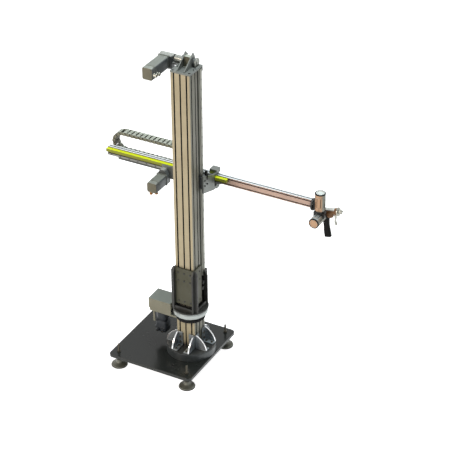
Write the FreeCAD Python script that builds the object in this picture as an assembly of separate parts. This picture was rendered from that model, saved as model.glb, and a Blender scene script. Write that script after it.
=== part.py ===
import FreeCAD, Part
import math
import os
from FreeCAD import Base

# Column-type painting robot. Millimetres, +Z up.
# The origin is on the slewing axis, at the underside of the base plate.
# +X is the way the arm reaches, -Y is the face of the column with three slots.

# Base plate and levelling feet
plate_length = 565.0
plate_width = 570.0
plate_thickness = 20.0
plate_corner = 24.0
plate_edge_chamfer = 2.0
plate_centre_x = -130.0
plate_centre_y = -5.0
foot_inset = 47.0
foot_height = 75.0
foot_pad_radius = 50.0
foot_pad_thickness = 16.0
foot_sole_thickness = 6.0
foot_neck_radius = 15.0
foot_stem_radius = 6.0
foot_stem_above_plate = 58.0
foot_nut_flats = 19.0
foot_nut_height = 10.0
thread_clearance = 0.05
eye_hole_radius = 5.1
eye_hole_depth = 16.0
eye_hole_x = -6.0
eye_hole_y = -215.0

# Round foot and fixed lower column
disc_radius = 150.0
disc_height = 50.0
disc_rim_step = 3.0
stub_size = 120.0
stub_height = 188.0
profile_module = 40.0
slot_mouth = 9.0
slot_lip = 5.0
slot_inner = 20.0
slot_depth = 13.0
core_wall = 9.0

# Angle brackets round the lower column
bracket_reach = 76.0
bracket_rise = 94.0
bracket_width = 38.0
bracket_leg = 7.0
bracket_web = 6.0
bracket_rim = 4.0
bracket_rim_width = 8.0
bracket_bulge = 14.0
bracket_hole_radius = 4.5
screw_radius = 4.0
screw_head_radius = 6.5
screw_head_height = 5.0
bracket_screw_near = 26.0
bracket_screw_far = 62.0

# Slewing bearing and its ring, levels above the top of the base plate
flange_radius = 89.0
flange_thickness = 18.0
spigot_radius = 40.0
bearing_outer_radius = 60.0
bearing_height = 26.0
belt_groove_height = 16.0
slew_ring_radius = 104.0
slew_ring_height = 34.0
slew_ring_step = 9.0
slew_pulley_radius = 80.0
turret_flange_radius = 109.0
turret_flange_thickness = 10.0
running_gap = 0.3
shaft_clearance = 0.05

# Slewing drive
drive_x = -190.0
drive_y = -4.0
drive_plate_thickness = 10.0
drive_pulley_radius = 20.0
swivel_belt_width = 12.0
belt_thickness = 2.5
cover_left = -256.0
cover_right = -104.0
cover_front = -60.0
cover_back = 55.0
cover_height = 80.0
cover_wall = 2.0
cover_corner = 14.0
swivel_gearbox_radius = 39.0
swivel_gearbox_length = 70.0
swivel_motor_size = 74.0
swivel_motor_length = 82.0
motor_chamfer = 9.0
stay_size = 10.0
stay_length = 70.0
stay_foot = 12.0

# Turret around the foot of the main column
turret_height = 287.0
rib_thickness = 8.0
rib_reach = 20.0
rib_chamfer_width = 14.0
rib_chamfer_height = 26.0
rear_rib_y = 50.0
rear_rib_drop = 60.0
rear_wall_y = 83.5
rear_wall = 4.0
side_plate_rear = 19.5
lip_height = 24.0
lip_thickness = 4.0
lip_setback = 6.0
socket_thickness = 20.0
socket_inset = 1.0
turret_plate = 8.0
turret_plate_gap = 36.0
turret_screw_rows = (58.0, 202.0, 255.0)

# Main column and the guide behind it
column_width = 120.0
column_depth = 80.0
column_front = -60.0
column_top = 1867.0
spacer_depth = 24.0
spacer_width = 20.0
guide_half_width = 46.0
guide_depth = 32.0
guide_bottom = 505.0
lift_rail_width = 20.0
lift_rail_height = 17.5
lift_rail_y = 64.0

# Top plate and lift drive
top_plate_thickness = 10.0
top_plate_half_width = 63.0
top_plate_back = 77.0
belt_slot_half_width = 17.0
belt_slot_front = 26.0
upright_x = 20.0
upright_thickness = 6.0
upright_front = -52.0
upright_crown = 20.0
upright_above_axis = 58.0
gusset_ahead = 32.0
gusset_width = 24.0
gusset_height = 40.0
lift_axis_y = 56.0
lift_axis_above_column = 30.0
lift_pulley_radius = 24.0
lift_belt_width = 25.0
lift_shaft_radius = 7.5
lift_bearing_radius = 22.0
lift_bearing_thickness = 11.0
hub_radius = 18.5
drive_disc_radius = 26.5
drive_disc_thickness = 6.0
gearbox_left = -181.0
gearbox_right = -101.0
gearbox_front = 24.0
gearbox_back = 62.0
gearbox_above_axis = 18.0
gearbox_below_axis = 62.0
gearbox_boss_radius = 21.0
lift_motor_x = -146.0
lift_motor_drop = 17.0
motor_width = 70.0
motor_height = 80.0
motor_length = 188.0
socket_radius = 9.0
socket_length = 16.0
idler_axis_above_plate = 455.0
idler_knob_radius = 12.0

# Carriage on the lift rails
carriage_z = 1145.0
lift_runner_height = 28.0
lift_runner_width = 44.0
lift_runner_length = 75.0
side_plate_thickness = 9.0
side_plate_front = 34.0
side_plate_back = 157.0
side_plate_front_bottom = -60.0
side_plate_front_top = 55.0
side_plate_back_bottom = -98.0
side_plate_back_top = 5.0
horn_height = 17.0
limit_switch_ahead = 14.0
limit_switch_width = 16.0
cross_plate_thickness = 8.0
cross_plate_left = -264.0
cross_plate_drop = 36.0
cross_plate_rise = 22.0
cross_plate_taper = 40.0
guide_block_inner_x = 36.0
guide_block_top = 26.0
guide_block_bottom = 34.0
clamp_width = 40.0
clamp_height = 30.0
clamp_thickness = 12.0

# Arm, its rail and its rack
arm_left = -655.0
arm_length = 1345.0
arm_depth = 28.0
arm_height = 52.0
arm_face_y = 190.0
arm_bottom = 1078.0
arm_groove = 7.0
arm_groove_depth = 6.0
arm_groove_edge = 9.5
arm_rail_width = 15.0
arm_rail_height = 14.0
arm_rail_length = 768.0
arm_runner_length = 56.0
arm_runner_width = 34.0
arm_runner_gap = 1.5
arm_runner_x = 42.0
rack_module = 1.5
rack_height = 20.0
rack_depth = 22.0
rack_length = 813.0
rack_drop = 5.5
pinion_teeth = 20
pinion_width = 6.5
pinion_x = -244.0
pinion_shaft_radius = 6.0
tooth_backlash = 0.12
arm_motor_size = 70.0
arm_motor_length = 124.0
arm_gearbox_length = 33.0
arm_motor_drop = 41.0

# Energy chain
chain_front_gap = 23.0
chain_width = 57.0
chain_height = 20.0
chain_radius = 63.0
chain_pitch = 30.0
chain_wall = 3.0
chain_wall_gap = 0.4
chain_end_overrun = 8.0
chain_bar = 2.5
chain_loop_x = -584.0
chain_run_links = 16
chain_rest = 1068.0
tray_thickness = 3.0
tray_flange_height = 27.0
bracket_sheet = 3.0
tray_overhang = 20.0

# Wrist and spray gun
arm_flange_radius = 36.0
arm_flange_thickness = 9.0
arm_flange_drop = 12.0
yaw_axis_gap = 36.0
wrist_axis_y = 212.0
wrist_motor_radius = 31.0
wrist_motor_height = 114.0
wrist_motor_above_arm = 100.0
pitch_axis_drop = 46.0
pitch_motor_front = 130.0
pitch_motor_length = 108.0
saddle_width = 34.0
gun_pitch_up = 12.0
gun_offset = 21.0
gun_body_length = 84.0
gun_body_radius = 18.0
gun_barrel_offset = 16.0
gun_top_setback = 9.0
trigger_hub_radius = 4.0
trigger_pin_radius = 1.5
trigger_ear = 3.0
handle_length = 132.0
handle_width = 41.0
handle_thickness = 27.0
air_cap_radius = 26.0
air_cap_thickness = 7.0
nozzle_radius = 13.0
trigger_gap = 0.85
air_inlet_radius = 5.7
air_inlet_depth = 14.0

# Levels worked out from the sizes above
plate_top = plate_thickness
disc_top = plate_top + disc_height
stub_top = disc_top + stub_height
flange_top = stub_top + flange_thickness
ring_bottom = flange_top + belt_groove_height
ring_top = ring_bottom + slew_ring_height
turret_floor = ring_top + turret_flange_thickness
turret_top = turret_floor + turret_height
column_bottom = turret_floor + socket_thickness
column_head = plate_top + column_top
column_back = column_front + column_depth
guide_front = column_back + spacer_depth
guide_back = guide_front + guide_depth
top_plate_top = column_head + top_plate_thickness
lift_axis_z = column_head + lift_axis_above_column
lift_motor_z = lift_axis_z - lift_motor_drop
idler_axis_z = plate_top + idler_axis_above_plate
carriage_level = plate_top + carriage_z
runner_face = guide_half_width + lift_runner_height
plate_outer = runner_face + side_plate_thickness
arm_z0 = plate_top + arm_bottom
arm_z1 = arm_z0 + arm_height
gun_y = pitch_motor_front + pitch_motor_length + gun_offset
arm_y0 = arm_face_y
arm_y1 = arm_y0 + arm_depth
arm_right = arm_left + arm_length
arm_rail_z = arm_z0 + arm_groove_edge
arm_upper_groove_z = arm_z1 - arm_groove_edge
rack_top = arm_z1 - rack_drop
rack_bottom = rack_top - rack_height
rack_pitch_z = rack_bottom + rack_module
rack_front_y = arm_y0 - rack_depth
pinion_pitch_radius = rack_module * pinion_teeth / 2
pinion_z = rack_pitch_z - pinion_pitch_radius
cross_plate_y0 = side_plate_back
cross_plate_y1 = cross_plate_y0 + cross_plate_thickness
wall_x = column_width / 2 + turret_plate
wall_front = column_front - turret_plate
rib_outer_x = wall_x + rib_reach
rib_outer_y = wall_front - rib_reach
chain_y0 = arm_y1 + chain_front_gap
chain_y1 = chain_y0 + chain_width
tray_y0 = arm_y1 + 1.0
chain_z = plate_top + chain_rest
chain_axis_z = chain_z + chain_height / 2 + chain_radius
yaw_x = arm_right + arm_flange_thickness + yaw_axis_gap
yaw_y = wrist_axis_y
yaw_top = arm_z0 + wrist_motor_above_arm
yaw_bottom = yaw_top - wrist_motor_height
pitch_z = yaw_bottom - pitch_axis_drop
up = Base.Vector(0, 0, 1)


def save(name, shape):
    shape.exportStep("parts/" + name + ".step")


def box(x0, x1, y0, y1, z0, z1):
    return Part.makeBox(x1 - x0, y1 - y0, z1 - z0, Base.Vector(x0, y0, z0))


def rod(radius, start, end):
    a = Base.Vector(*start)
    b = Base.Vector(*end)
    return Part.makeCylinder(radius, (b - a).Length, a, b - a)


def prism(points, direction):
    corners = [Base.Vector(*p) for p in points]
    face = Part.Face(Part.makePolygon(corners + [corners[0]]))
    return face.extrude(Base.Vector(*direction))


def revolve(points, centre=(0, 0, 0)):
    """Turn a closed outline of (radius, height) points round a vertical axis."""
    corners = [Base.Vector(r + centre[0], centre[1], z + centre[2]) for r, z in points]
    face = Part.Face(Part.makePolygon(corners + [corners[0]]))
    return face.revolve(Base.Vector(*centre), up, 360)


def joined(shapes):
    whole = shapes[0].multiFuse(shapes[1:]) if len(shapes) > 1 else shapes[0]
    return whole.removeSplitter()


def mirror_x(shape):
    return shape.mirror(Base.Vector(0, 0, 0), Base.Vector(1, 0, 0))


def group(shapes):
    return Part.makeCompound(shapes)


def hexagon(flats, centre, height):
    radius = flats / math.sqrt(3)
    x, y, z = centre
    angles = [math.radians(60 * i) for i in range(6)]
    points = [(x + radius * math.cos(a), y + radius * math.sin(a), z) for a in angles]
    return prism(points, (0, 0, height))


def t_slot(position, face, sign, z0, z1):
    """One T-slot cutter. face is the distance of the outer face, sign its side."""
    half_mouth = slot_mouth / 2
    half_inner = slot_inner / 2
    outside = face + 1.0
    lip = face - slot_lip
    bottom = face - slot_depth
    half_bottom = half_inner - (slot_depth - slot_lip) / 2
    outline = [
        (-half_mouth, outside), (-half_mouth, lip), (-half_inner, lip), (-half_bottom, bottom),
        (half_bottom, bottom), (half_inner, lip), (half_mouth, lip), (half_mouth, outside),
    ]
    return prism([(position + u, sign * v, z0) for u, v in outline], (0, 0, z1 - z0))


def slot_centres(size):
    count = int(round(size / profile_module))
    return [(i - (count - 1) / 2) * profile_module for i in range(count)]


def t_slot_column(width, depth, z0, z1):
    """An extruded profile centred on the Z axis, slots on all four faces."""
    body = box(-width / 2, width / 2, -depth / 2, depth / 2, z0, z1)
    cutters = []
    for x in slot_centres(width):
        cutters += [t_slot(x, depth / 2, sign, z0, z1) for sign in (-1, 1)]
    for y in slot_centres(depth):
        for sign in (-1, 1):
            cutter = t_slot(y, width / 2, sign, z0, z1)
            cutter.rotate(Base.Vector(0, 0, 0), up, -90)
            cutters.append(cutter)
    inner_x = width / 2 - slot_depth - core_wall
    inner_y = depth / 2 - slot_depth - core_wall
    cutters.append(box(-inner_x, inner_x, -inner_y, inner_y, z0, z1))
    return body.cut(cutters)


# Base

def foot_positions():
    half_x = plate_length / 2 - foot_inset
    half_y = plate_width / 2 - foot_inset
    corners = ((-1, -1), (1, -1), (1, 1), (-1, 1))
    return [(plate_centre_x + a * half_x, plate_centre_y + b * half_y) for a, b in corners]


def make_base_plate():
    x0 = plate_centre_x - plate_length / 2
    y0 = plate_centre_y - plate_width / 2
    body = box(x0, x0 + plate_length, y0, y0 + plate_width, 0, plate_thickness)
    upright = [e for e in body.Edges if e.BoundBox.ZLength > plate_thickness / 2]
    body = body.makeFillet(plate_corner, upright)
    rim = [e for e in body.Edges if e.BoundBox.ZMin > plate_thickness - 0.01]
    body = body.makeChamfer(plate_edge_chamfer, rim)
    hole = foot_stem_radius + thread_clearance
    cutters = [rod(hole, (x, y, -1), (x, y, plate_top + 1)) for x, y in foot_positions()]
    eye = (eye_hole_x, eye_hole_y)
    cutters.append(rod(eye_hole_radius, (*eye, plate_top - eye_hole_depth), (*eye, plate_top + 1)))
    return body.cut(cutters)


def make_levelling_foot(x, y):
    bottom = -foot_height
    sole_top = bottom + foot_sole_thickness
    pad_top = sole_top + foot_pad_thickness
    stem_top = plate_top + foot_stem_above_plate
    sole = revolve([(0, 0), (foot_pad_radius, 0), (foot_pad_radius, foot_sole_thickness),
                    (0, foot_sole_thickness)], (x, y, bottom))
    outline = [
        (0, sole_top), (foot_pad_radius - 2, sole_top), (foot_pad_radius - 3, sole_top + 5),
        (foot_neck_radius + 6, pad_top), (foot_neck_radius, pad_top + 3),
        (foot_neck_radius, pad_top + 15), (foot_stem_radius, pad_top + 18),
        (foot_stem_radius, stem_top - 1.5), (foot_stem_radius - 1.5, stem_top), (0, stem_top),
    ]
    return group([sole, revolve(outline, (x, y, 0))])


def make_lock_nuts():
    nuts = []
    for x, y in foot_positions():
        blank = hexagon(foot_nut_flats, (x, y, plate_top), foot_nut_height)
        nut_top = plate_top + foot_nut_height
        bore = rod(foot_stem_radius + thread_clearance, (x, y, plate_top - 1), (x, y, nut_top + 1))
        nuts.append(blank.cut(bore))
    return group(nuts)


def make_foot_disc():
    outline = [
        (0, 0), (disc_radius, 0), (disc_radius, disc_height - 2 * disc_rim_step),
        (disc_radius - disc_rim_step / 2, disc_height - 2 * disc_rim_step),
        (disc_radius - disc_rim_step / 2, disc_height - disc_rim_step),
        (disc_radius, disc_height - disc_rim_step), (disc_radius - 1, disc_height), (0, disc_height),
    ]
    return revolve(outline, (0, 0, plate_top))


def bracket_blank():
    """A cast angle bracket: u outwards, width along +Y, web on the outer side."""
    rise = bracket_rise
    reach = bracket_reach
    upright = box(0, bracket_leg, 0, bracket_width, 0, rise)
    ground = box(0, reach, 0, bracket_width, 0, bracket_leg)
    start = Base.Vector(bracket_leg, 0, rise)
    end = Base.Vector(reach, 0, bracket_leg)
    middle = (start + end) * 0.5
    normal = Base.Vector(rise - bracket_leg, 0, reach - bracket_leg)
    normal.normalize()
    outer_peak = middle + normal * bracket_bulge
    outer = Part.Arc(start, outer_peak, end).toShape()
    corner = Base.Vector(0, 0, 0)
    foot = Base.Vector(0, 0, rise)
    toe = Base.Vector(reach, 0, 0)
    edges = [Part.makeLine(corner, foot), Part.makeLine(foot, start), outer,
             Part.makeLine(end, toe), Part.makeLine(toe, corner)]
    web = Part.Face(Part.Wire(edges)).extrude(Base.Vector(0, bracket_web, 0))
    inset = normal * bracket_rim
    inner = Part.Arc(start - inset, outer_peak - inset, end - inset).toShape()
    band = [outer, Part.makeLine(end, end - inset), inner, Part.makeLine(start - inset, start)]
    rim = Part.Face(Part.Wire(Part.__sortEdges__(band))).extrude(Base.Vector(0, bracket_rim_width, 0))
    body = joined([upright, ground, web, rim])
    row_y = bracket_screw_line()
    cutters = []
    for u in (bracket_screw_near, bracket_screw_far):
        cutters.append(rod(bracket_hole_radius, (u, row_y, -1), (u, row_y, bracket_leg + 1)))
    for z in (bracket_screw_near, bracket_screw_far):
        cutters.append(rod(bracket_hole_radius, (-1, row_y, z), (bracket_leg + 1, row_y, z)))
    return body.cut(cutters)


def bracket_screw_line():
    return bracket_width - 14.0


def cap_screw(length):
    """A socket head screw along +Z with its head seat at Z = 0."""
    head = rod(screw_head_radius, (0, 0, 0), (0, 0, screw_head_height))
    shank = rod(screw_radius, (0, 0, -length), (0, 0, 0))
    socket = hexagon(screw_radius * 1.4, (0, 0, screw_head_height / 2), screw_head_height)
    return joined([head, shank]).cut(socket)


def bracket_screw_set():
    row_y = bracket_screw_line()
    screws = []
    for u in (bracket_screw_near, bracket_screw_far):
        screw = cap_screw(bracket_leg)
        screw.translate(Base.Vector(u, row_y, bracket_leg))
        screws.append(screw)
    for z in (bracket_screw_near, bracket_screw_far):
        screw = cap_screw(bracket_leg)
        screw.rotate(Base.Vector(0, 0, 0), Base.Vector(0, 1, 0), 90)
        screw.translate(Base.Vector(bracket_leg, row_y, z))
        screws.append(screw)
    return screws


def around_stub(shapes):
    """Copy shapes to both ends of the four faces of the lower column."""
    half = stub_size / 2
    placed = []
    for turn in range(4):
        for side in (1, -1):
            for shape in shapes:
                copy = shape.copy()
                copy.translate(Base.Vector(half, -half + 1.0, disc_top))
                if side < 0:
                    copy = copy.mirror(Base.Vector(0, 0, 0), Base.Vector(0, 1, 0))
                copy.rotate(Base.Vector(0, 0, 0), up, 90 * turn)
                placed.append(copy)
    return group(placed)


# Slewing bearing and drive

def make_slew_base_flange():
    bearing_bottom = flange_top + running_gap
    seat = spigot_radius
    body = revolve([
        (0, stub_top), (flange_radius, stub_top), (flange_radius, flange_top - 3),
        (flange_radius - 3, flange_top), (bearing_outer_radius - 8, flange_top),
        (bearing_outer_radius - 8, bearing_bottom), (seat, bearing_bottom),
        (seat, bearing_bottom + bearing_height), (0, bearing_bottom + bearing_height),
    ])
    bearing = revolve([
        (seat, bearing_bottom), (bearing_outer_radius, bearing_bottom),
        (bearing_outer_radius, bearing_bottom + bearing_height), (seat, bearing_bottom + bearing_height),
    ])
    return group([body, bearing])


def make_slew_ring():
    bore = bearing_outer_radius + shaft_clearance
    roof = flange_top + running_gap + bearing_height + running_gap
    groove_bottom = flange_top + running_gap
    lip = slew_pulley_radius + 4
    return revolve([
        (bore, groove_bottom), (lip, groove_bottom), (lip, groove_bottom + 1),
        (slew_pulley_radius, groove_bottom + 1), (slew_pulley_radius, ring_bottom),
        (slew_ring_radius - 2, ring_bottom), (slew_ring_radius, ring_bottom + 2),
        (slew_ring_radius, ring_top - slew_ring_step), (slew_ring_radius - 2, ring_top - slew_ring_step),
        (slew_ring_radius - 2, ring_top - 2), (slew_ring_radius - 4, ring_top),
        (0, ring_top), (0, roof), (bore, roof),
    ])


def belt_path(c0, r0, c1, r1):
    """Closed outline of a belt round two circles in a plane, as a wire at height 0."""
    dx = c1[0] - c0[0]
    dy = c1[1] - c0[1]
    gap = math.hypot(dx, dy)
    heading = math.atan2(dy, dx)
    lean = math.acos((r0 - r1) / gap)

    def on(centre, radius, angle):
        return Base.Vector(centre[0] + radius * math.cos(angle), centre[1] + radius * math.sin(angle), 0)

    a_start = on(c0, r0, heading + lean)
    a_far = on(c0, r0, heading + math.pi)
    a_end = on(c0, r0, heading - lean)
    b_start = on(c1, r1, heading - lean)
    b_far = on(c1, r1, heading)
    b_end = on(c1, r1, heading + lean)
    edges = [Part.Arc(a_start, a_far, a_end).toShape(), Part.makeLine(a_end, b_start),
             Part.Arc(b_start, b_far, b_end).toShape(), Part.makeLine(b_end, a_start)]
    return Part.Face(Part.Wire(edges))


def belt_solid(c0, r0, c1, r1, width):
    """A belt of the common thickness round two pulleys, width along +Z."""
    outer = belt_path(c0, r0 + belt_thickness, c1, r1 + belt_thickness)
    inner = belt_path(c0, r0, c1, r1)
    return outer.extrude(up * width).cut(inner.extrude(up * width))


def swivel_belt_level():
    return ring_bottom - 1.5 - swivel_belt_width


def make_swivel_belt():
    belt = belt_solid((0, 0), slew_pulley_radius + running_gap, (drive_x, drive_y),
                      drive_pulley_radius + running_gap, swivel_belt_width)
    belt.translate(up * swivel_belt_level())
    return belt


def make_swivel_drive_pulley():
    bottom = stub_top + running_gap
    level = swivel_belt_level()
    top = level + swivel_belt_width + 1
    outline = [
        (0, bottom), (8, bottom), (8, level - 3), (drive_pulley_radius + 4, level - 3),
        (drive_pulley_radius + 4, level - 1), (drive_pulley_radius, level - 1),
        (drive_pulley_radius, top), (drive_pulley_radius + 4, top),
        (drive_pulley_radius + 4, top + 2), (10, top + 2), (10, top + 9), (0, top + 9),
    ]
    return revolve(outline, (drive_x, drive_y, 0))


def swivel_drive_plate():
    z0 = stub_top - drive_plate_thickness
    half = stub_size / 2
    body = box(cover_left + 4, -half - 2, cover_front + 4, cover_back - 4, z0, stub_top)
    body = body.cut(rod(12, (drive_x, drive_y, z0 - 1), (drive_x, drive_y, stub_top + 1)))
    stay_x = cover_left + 26
    stay_y = cover_front + 6
    stay_back = stay_y + stay_size / 2
    low = z0 - stay_length
    stay = box(stay_x, stay_x + stay_size, stay_y, stay_back, low, z0)
    foot_end = drive_x - swivel_gearbox_radius + stay_foot
    foot = box(stay_x, foot_end, stay_y, stay_back, low, low + stay_foot)
    return joined([body, stay, foot])


def make_swivel_cover():
    z0 = stub_top
    z1 = z0 + cover_height
    corner = cover_corner
    wall = cover_wall

    def shell(inset, top, low):
        left = cover_left + inset
        right = cover_right - inset
        outline = [(left, cover_front + inset, low + corner), (left, cover_front + inset, top),
                   (right, cover_front + inset, top), (right, cover_front + inset, low),
                   (left + corner, cover_front + inset, low)]
        return prism(outline, (0, cover_back - cover_front - 2 * inset, 0))

    body = shell(0, z1, z0).cut(shell(wall, z1 - wall, z0))
    near = cover_front + wall
    far = cover_back - wall
    floor_cut = box(cover_left + corner + wall, cover_right, near, far, z0 - 1, z0 + wall + 1)
    ring_cut = rod(turret_flange_radius + 3, (0, 0, z0 - 1), (0, 0, z1 + 1))
    level = swivel_belt_level()
    window_top = level + swivel_belt_width + 3
    window = box(cover_right - 3, cover_right + 1, near, far, level - 3, window_top)
    return group([body.cut([floor_cut, ring_cut, window]), swivel_drive_plate()])


def make_swivel_gearbox():
    z1 = stub_top - drive_plate_thickness
    z0 = z1 - swivel_gearbox_length
    radius = swivel_gearbox_radius
    outline = [
        (0, z0), (radius - 3, z0), (radius - 3, z0 + 6), (radius - 6, z0 + 8), (radius - 6, z0 + 14),
        (radius, z0 + 16), (radius, z1 - 12), (radius - 2, z1 - 12), (radius - 2, z1), (0, z1),
    ]
    return revolve(outline, (drive_x, drive_y, 0))


def motor_body(width, height, length, chamfer):
    """A servo motor along -Y from Y = 0: chamfered body, flange and end cap."""

    def ring(inset, y0, y1):
        a = width / 2 - inset
        b = height / 2 - inset
        c = chamfer
        outline = [(-a + c, -b), (a - c, -b), (a, -b + c), (a, b - c),
                   (a - c, b), (-a + c, b), (-a, b - c), (-a, -b + c)]
        return prism([(x, y0, z) for x, z in outline], (0, y1 - y0, 0))

    flange = ring(0, -8, 0)
    body = ring(2.5, -length + 34, -8)
    seam = ring(4.5, -length + 31, -length + 34)
    end = ring(2.5, -length, -length + 31)
    return joined([flange, body, seam, end])


def make_swivel_motor():
    motor = motor_body(swivel_motor_size, swivel_motor_size, swivel_motor_length, motor_chamfer)
    motor.rotate(Base.Vector(0, 0, 0), Base.Vector(1, 0, 0), 90)
    top = stub_top - drive_plate_thickness - swivel_gearbox_length
    motor.translate(Base.Vector(drive_x, drive_y, top))
    return motor


def make_swivel_motor_sockets():
    low = stub_top - drive_plate_thickness - swivel_gearbox_length - swivel_motor_length
    face_y = drive_y - swivel_motor_size / 2 + 2.5
    face_x = drive_x - swivel_motor_size / 2 + 2.5
    sockets = [plug_socket((drive_x + dx, face_y, low + 16), (0, -1, 0)) for dx in (-17, 17)]
    sockets.append(plug_socket((face_x, drive_y - 10, low + 16), (-1, 0, 0)))
    return group(sockets)


def plug_socket(base, direction):
    """A round cable socket that stands on a motor face."""
    way = Base.Vector(*direction)
    start = Base.Vector(*base)
    neck = Part.makeCylinder(socket_radius, 4, start, way)
    barrel = Part.makeCylinder(socket_radius - 1.5, socket_length, start, way)
    collar = Part.makeCylinder(socket_radius, 5, start + way * (socket_length - 7), way)
    mouth = Part.makeCylinder(socket_radius - 3.5, 6, start + way * (socket_length - 5), way)
    return joined([neck, barrel, collar]).cut(mouth)


# Turret and column

def make_turret_frame():
    flange = revolve([
        (0, ring_top), (turret_flange_radius - 2, ring_top), (turret_flange_radius, ring_top + 2),
        (turret_flange_radius, turret_floor - 2), (turret_flange_radius - 2, turret_floor),
        (0, turret_floor),
    ])
    pieces = [flange]
    half = column_width / 2
    inset = socket_inset
    front = column_front + inset
    back = column_back - inset
    pieces.append(box(-half + inset, half - inset, front, back, turret_floor, column_bottom))
    t = rib_thickness
    right = [
        rib_outline((half, column_front), (0, -1), turret_plate + rib_reach),
        rib_outline((wall_x, wall_front), (1, 0), rib_reach),
        rib_outline((wall_x - 4, rear_rib_y), (1, 0), rib_reach + 4, turret_top - rear_rib_drop),
        box(wall_x - 4, wall_x + 1, rear_rib_y + t, rear_wall_y, turret_floor, turret_top - rear_rib_drop),
    ]
    lip_x = rib_outer_x - lip_setback
    lip_top = turret_floor + lip_height
    right.append(box(lip_x - lip_thickness, lip_x, wall_front + t, rear_rib_y, turret_floor, lip_top))
    pieces += right + [mirror_x(piece) for piece in right]
    lip_y = rib_outer_y + lip_setback
    pieces.append(box(-half, half, lip_y, lip_y + lip_thickness, turret_floor, lip_top))
    rear_top = turret_top - rear_rib_drop
    rear_back = rear_wall_y + rear_wall
    pieces.append(box(-wall_x - 1, wall_x + 1, rear_wall_y, rear_back, turret_floor, rear_top))
    return group([joined(pieces), idler_bracket()])


def rib_outline(corner, direction, reach, top=turret_top):
    """One upright rib with its outer top corner cut off; it leaves the corner along direction."""
    x, y = corner
    dx, dy = direction
    low = top - rib_chamfer_height
    inner = reach - rib_chamfer_width
    steps = [(0, turret_floor), (reach, turret_floor), (reach, low), (inner, top), (0, top)]
    points = [(x + dx * r, y + dy * r, z) for r, z in steps]
    return prism(points, (abs(dy) * rib_thickness, abs(dx) * rib_thickness, 0))


def idler_bracket():
    """Two cheeks below the guide that carry the lower belt pulley, with two clamping knobs."""
    inner = belt_slot_half_width + 2
    cheek = 6.0
    z0 = idler_axis_z - 40
    z1 = plate_top + guide_bottom
    y0 = column_back
    y1 = guide_back
    left = box(-inner - cheek, -inner, y0, y1, z0, z1)
    right = box(inner, inner + cheek, y0, y1, z0, z1)
    hole = lift_shaft_radius + shaft_clearance
    end = inner + cheek + 1
    bore = rod(hole, (-end, lift_axis_y, idler_axis_z), (end, lift_axis_y, idler_axis_z))
    knobs = []
    for y, z in ((column_back + 18, idler_axis_z + 17), (column_back + 12, idler_axis_z - 18)):
        knobs.append(rod(4, (inner, y, z), (wall_x - 8, y, z)))
        knobs.append(rod(idler_knob_radius, (wall_x - 8, y, z), (wall_x + 4, y, z)))
    return joined([left, right] + knobs).cut(bore)


def make_turret_plates():
    """Front plate and two side plates that lie on the column."""
    z0 = turret_floor + turret_plate_gap
    z1 = turret_top
    half = column_width / 2
    front = box(-half, half, wall_front, column_front, z0, z1)
    right = box(half, wall_x, column_front, side_plate_rear, z0, z1)
    return group([front, right, mirror_x(right)])


def screw_rows():
    return [turret_floor + row for row in turret_screw_rows]


def make_turret_screws():
    screws = []
    middle = (column_front + column_back) / 2
    for z in screw_rows():
        for x in slot_centres(column_width):
            screw = button_screw()
            screw.rotate(Base.Vector(0, 0, 0), Base.Vector(1, 0, 0), 90)
            screw.translate(Base.Vector(x, wall_front, z))
            screws.append(screw)
        for y in slot_centres(column_depth):
            for side in (1, -1):
                screw = button_screw()
                screw.rotate(Base.Vector(0, 0, 0), Base.Vector(0, 1, 0), 90 * side)
                screw.translate(Base.Vector(side * wall_x, middle + y, z))
                screws.append(screw)
    return group(screws)


def button_screw():
    return rod(screw_head_radius - 1, (0, 0, 0), (0, 0, 2.5))


def make_main_column():
    column = t_slot_column(column_width, column_depth, column_bottom, column_head)
    column.translate(Base.Vector(0, (column_front + column_back) / 2, 0))
    return column


def make_column_guide():
    z0 = plate_top + guide_bottom
    z1 = column_head
    half = guide_half_width
    pieces = []
    for side in (-1, 1):
        x0, x1 = sorted((side * (half - spacer_width), side * half))
        pieces.append(box(x0, x1, column_back, guide_front, z0, z1))
    body = box(-half, half, guide_front, guide_back, z0, z1)
    cutters = []
    for x in (-profile_module / 2, profile_module / 2):
        cutter = t_slot(x, 0, 1, z0, z1)
        cutter.translate(Base.Vector(0, guide_back, 0))
        cutters.append(cutter)
    channel = belt_slot_half_width
    cutters.append(box(-channel + 4, channel - 4, guide_front - 1, guide_front + 8, z0, z1))
    pieces.append(body.cut(cutters))
    return joined(pieces)


def make_lift_rails():
    """Guide rails with waisted flanks on both sides of the guide."""
    z0 = plate_top + guide_bottom
    z1 = column_head - 6
    half = lift_rail_width / 2
    h = lift_rail_height
    outline = [(0, -half), (h * 0.4, -half), (h * 0.55, -half + 3), (h * 0.8, -half + 1),
               (h, -half + 2), (h, half - 2), (h * 0.8, half - 1), (h * 0.55, half - 3),
               (h * 0.4, half), (0, half)]
    right = prism([(guide_half_width + u, lift_rail_y + v, z0) for u, v in outline], (0, 0, z1 - z0))
    return group([right, mirror_x(right)])


# Top drive

def make_top_plate():
    half = top_plate_half_width
    z0 = column_head
    z1 = top_plate_top
    body = box(-half, half, column_front, top_plate_back, z0, z1)
    tab = box(guide_half_width - 4, half, top_plate_back, top_plate_back + 6, z0 - 26, z1)
    slot_x = belt_slot_half_width
    slot = box(-slot_x, slot_x, belt_slot_front, top_plate_back + 1, z0 - 1, z1 + 1)
    disc_x = upright_x + upright_thickness + lift_bearing_thickness
    disc_slot = box(disc_x, half - 16, lift_axis_y - 20, lift_axis_y + 20, z0 - 1, z1 + 1)
    holes = [disc_slot]
    for x in (-half + 12, half - 9):
        for y in (column_front + 16, column_back, top_plate_back - 14):
            holes.append(rod(bracket_hole_radius, (x, y, z0 - 1), (x, y, z1 + 1)))
    return joined([body, tab]).cut([slot] + holes)


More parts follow.
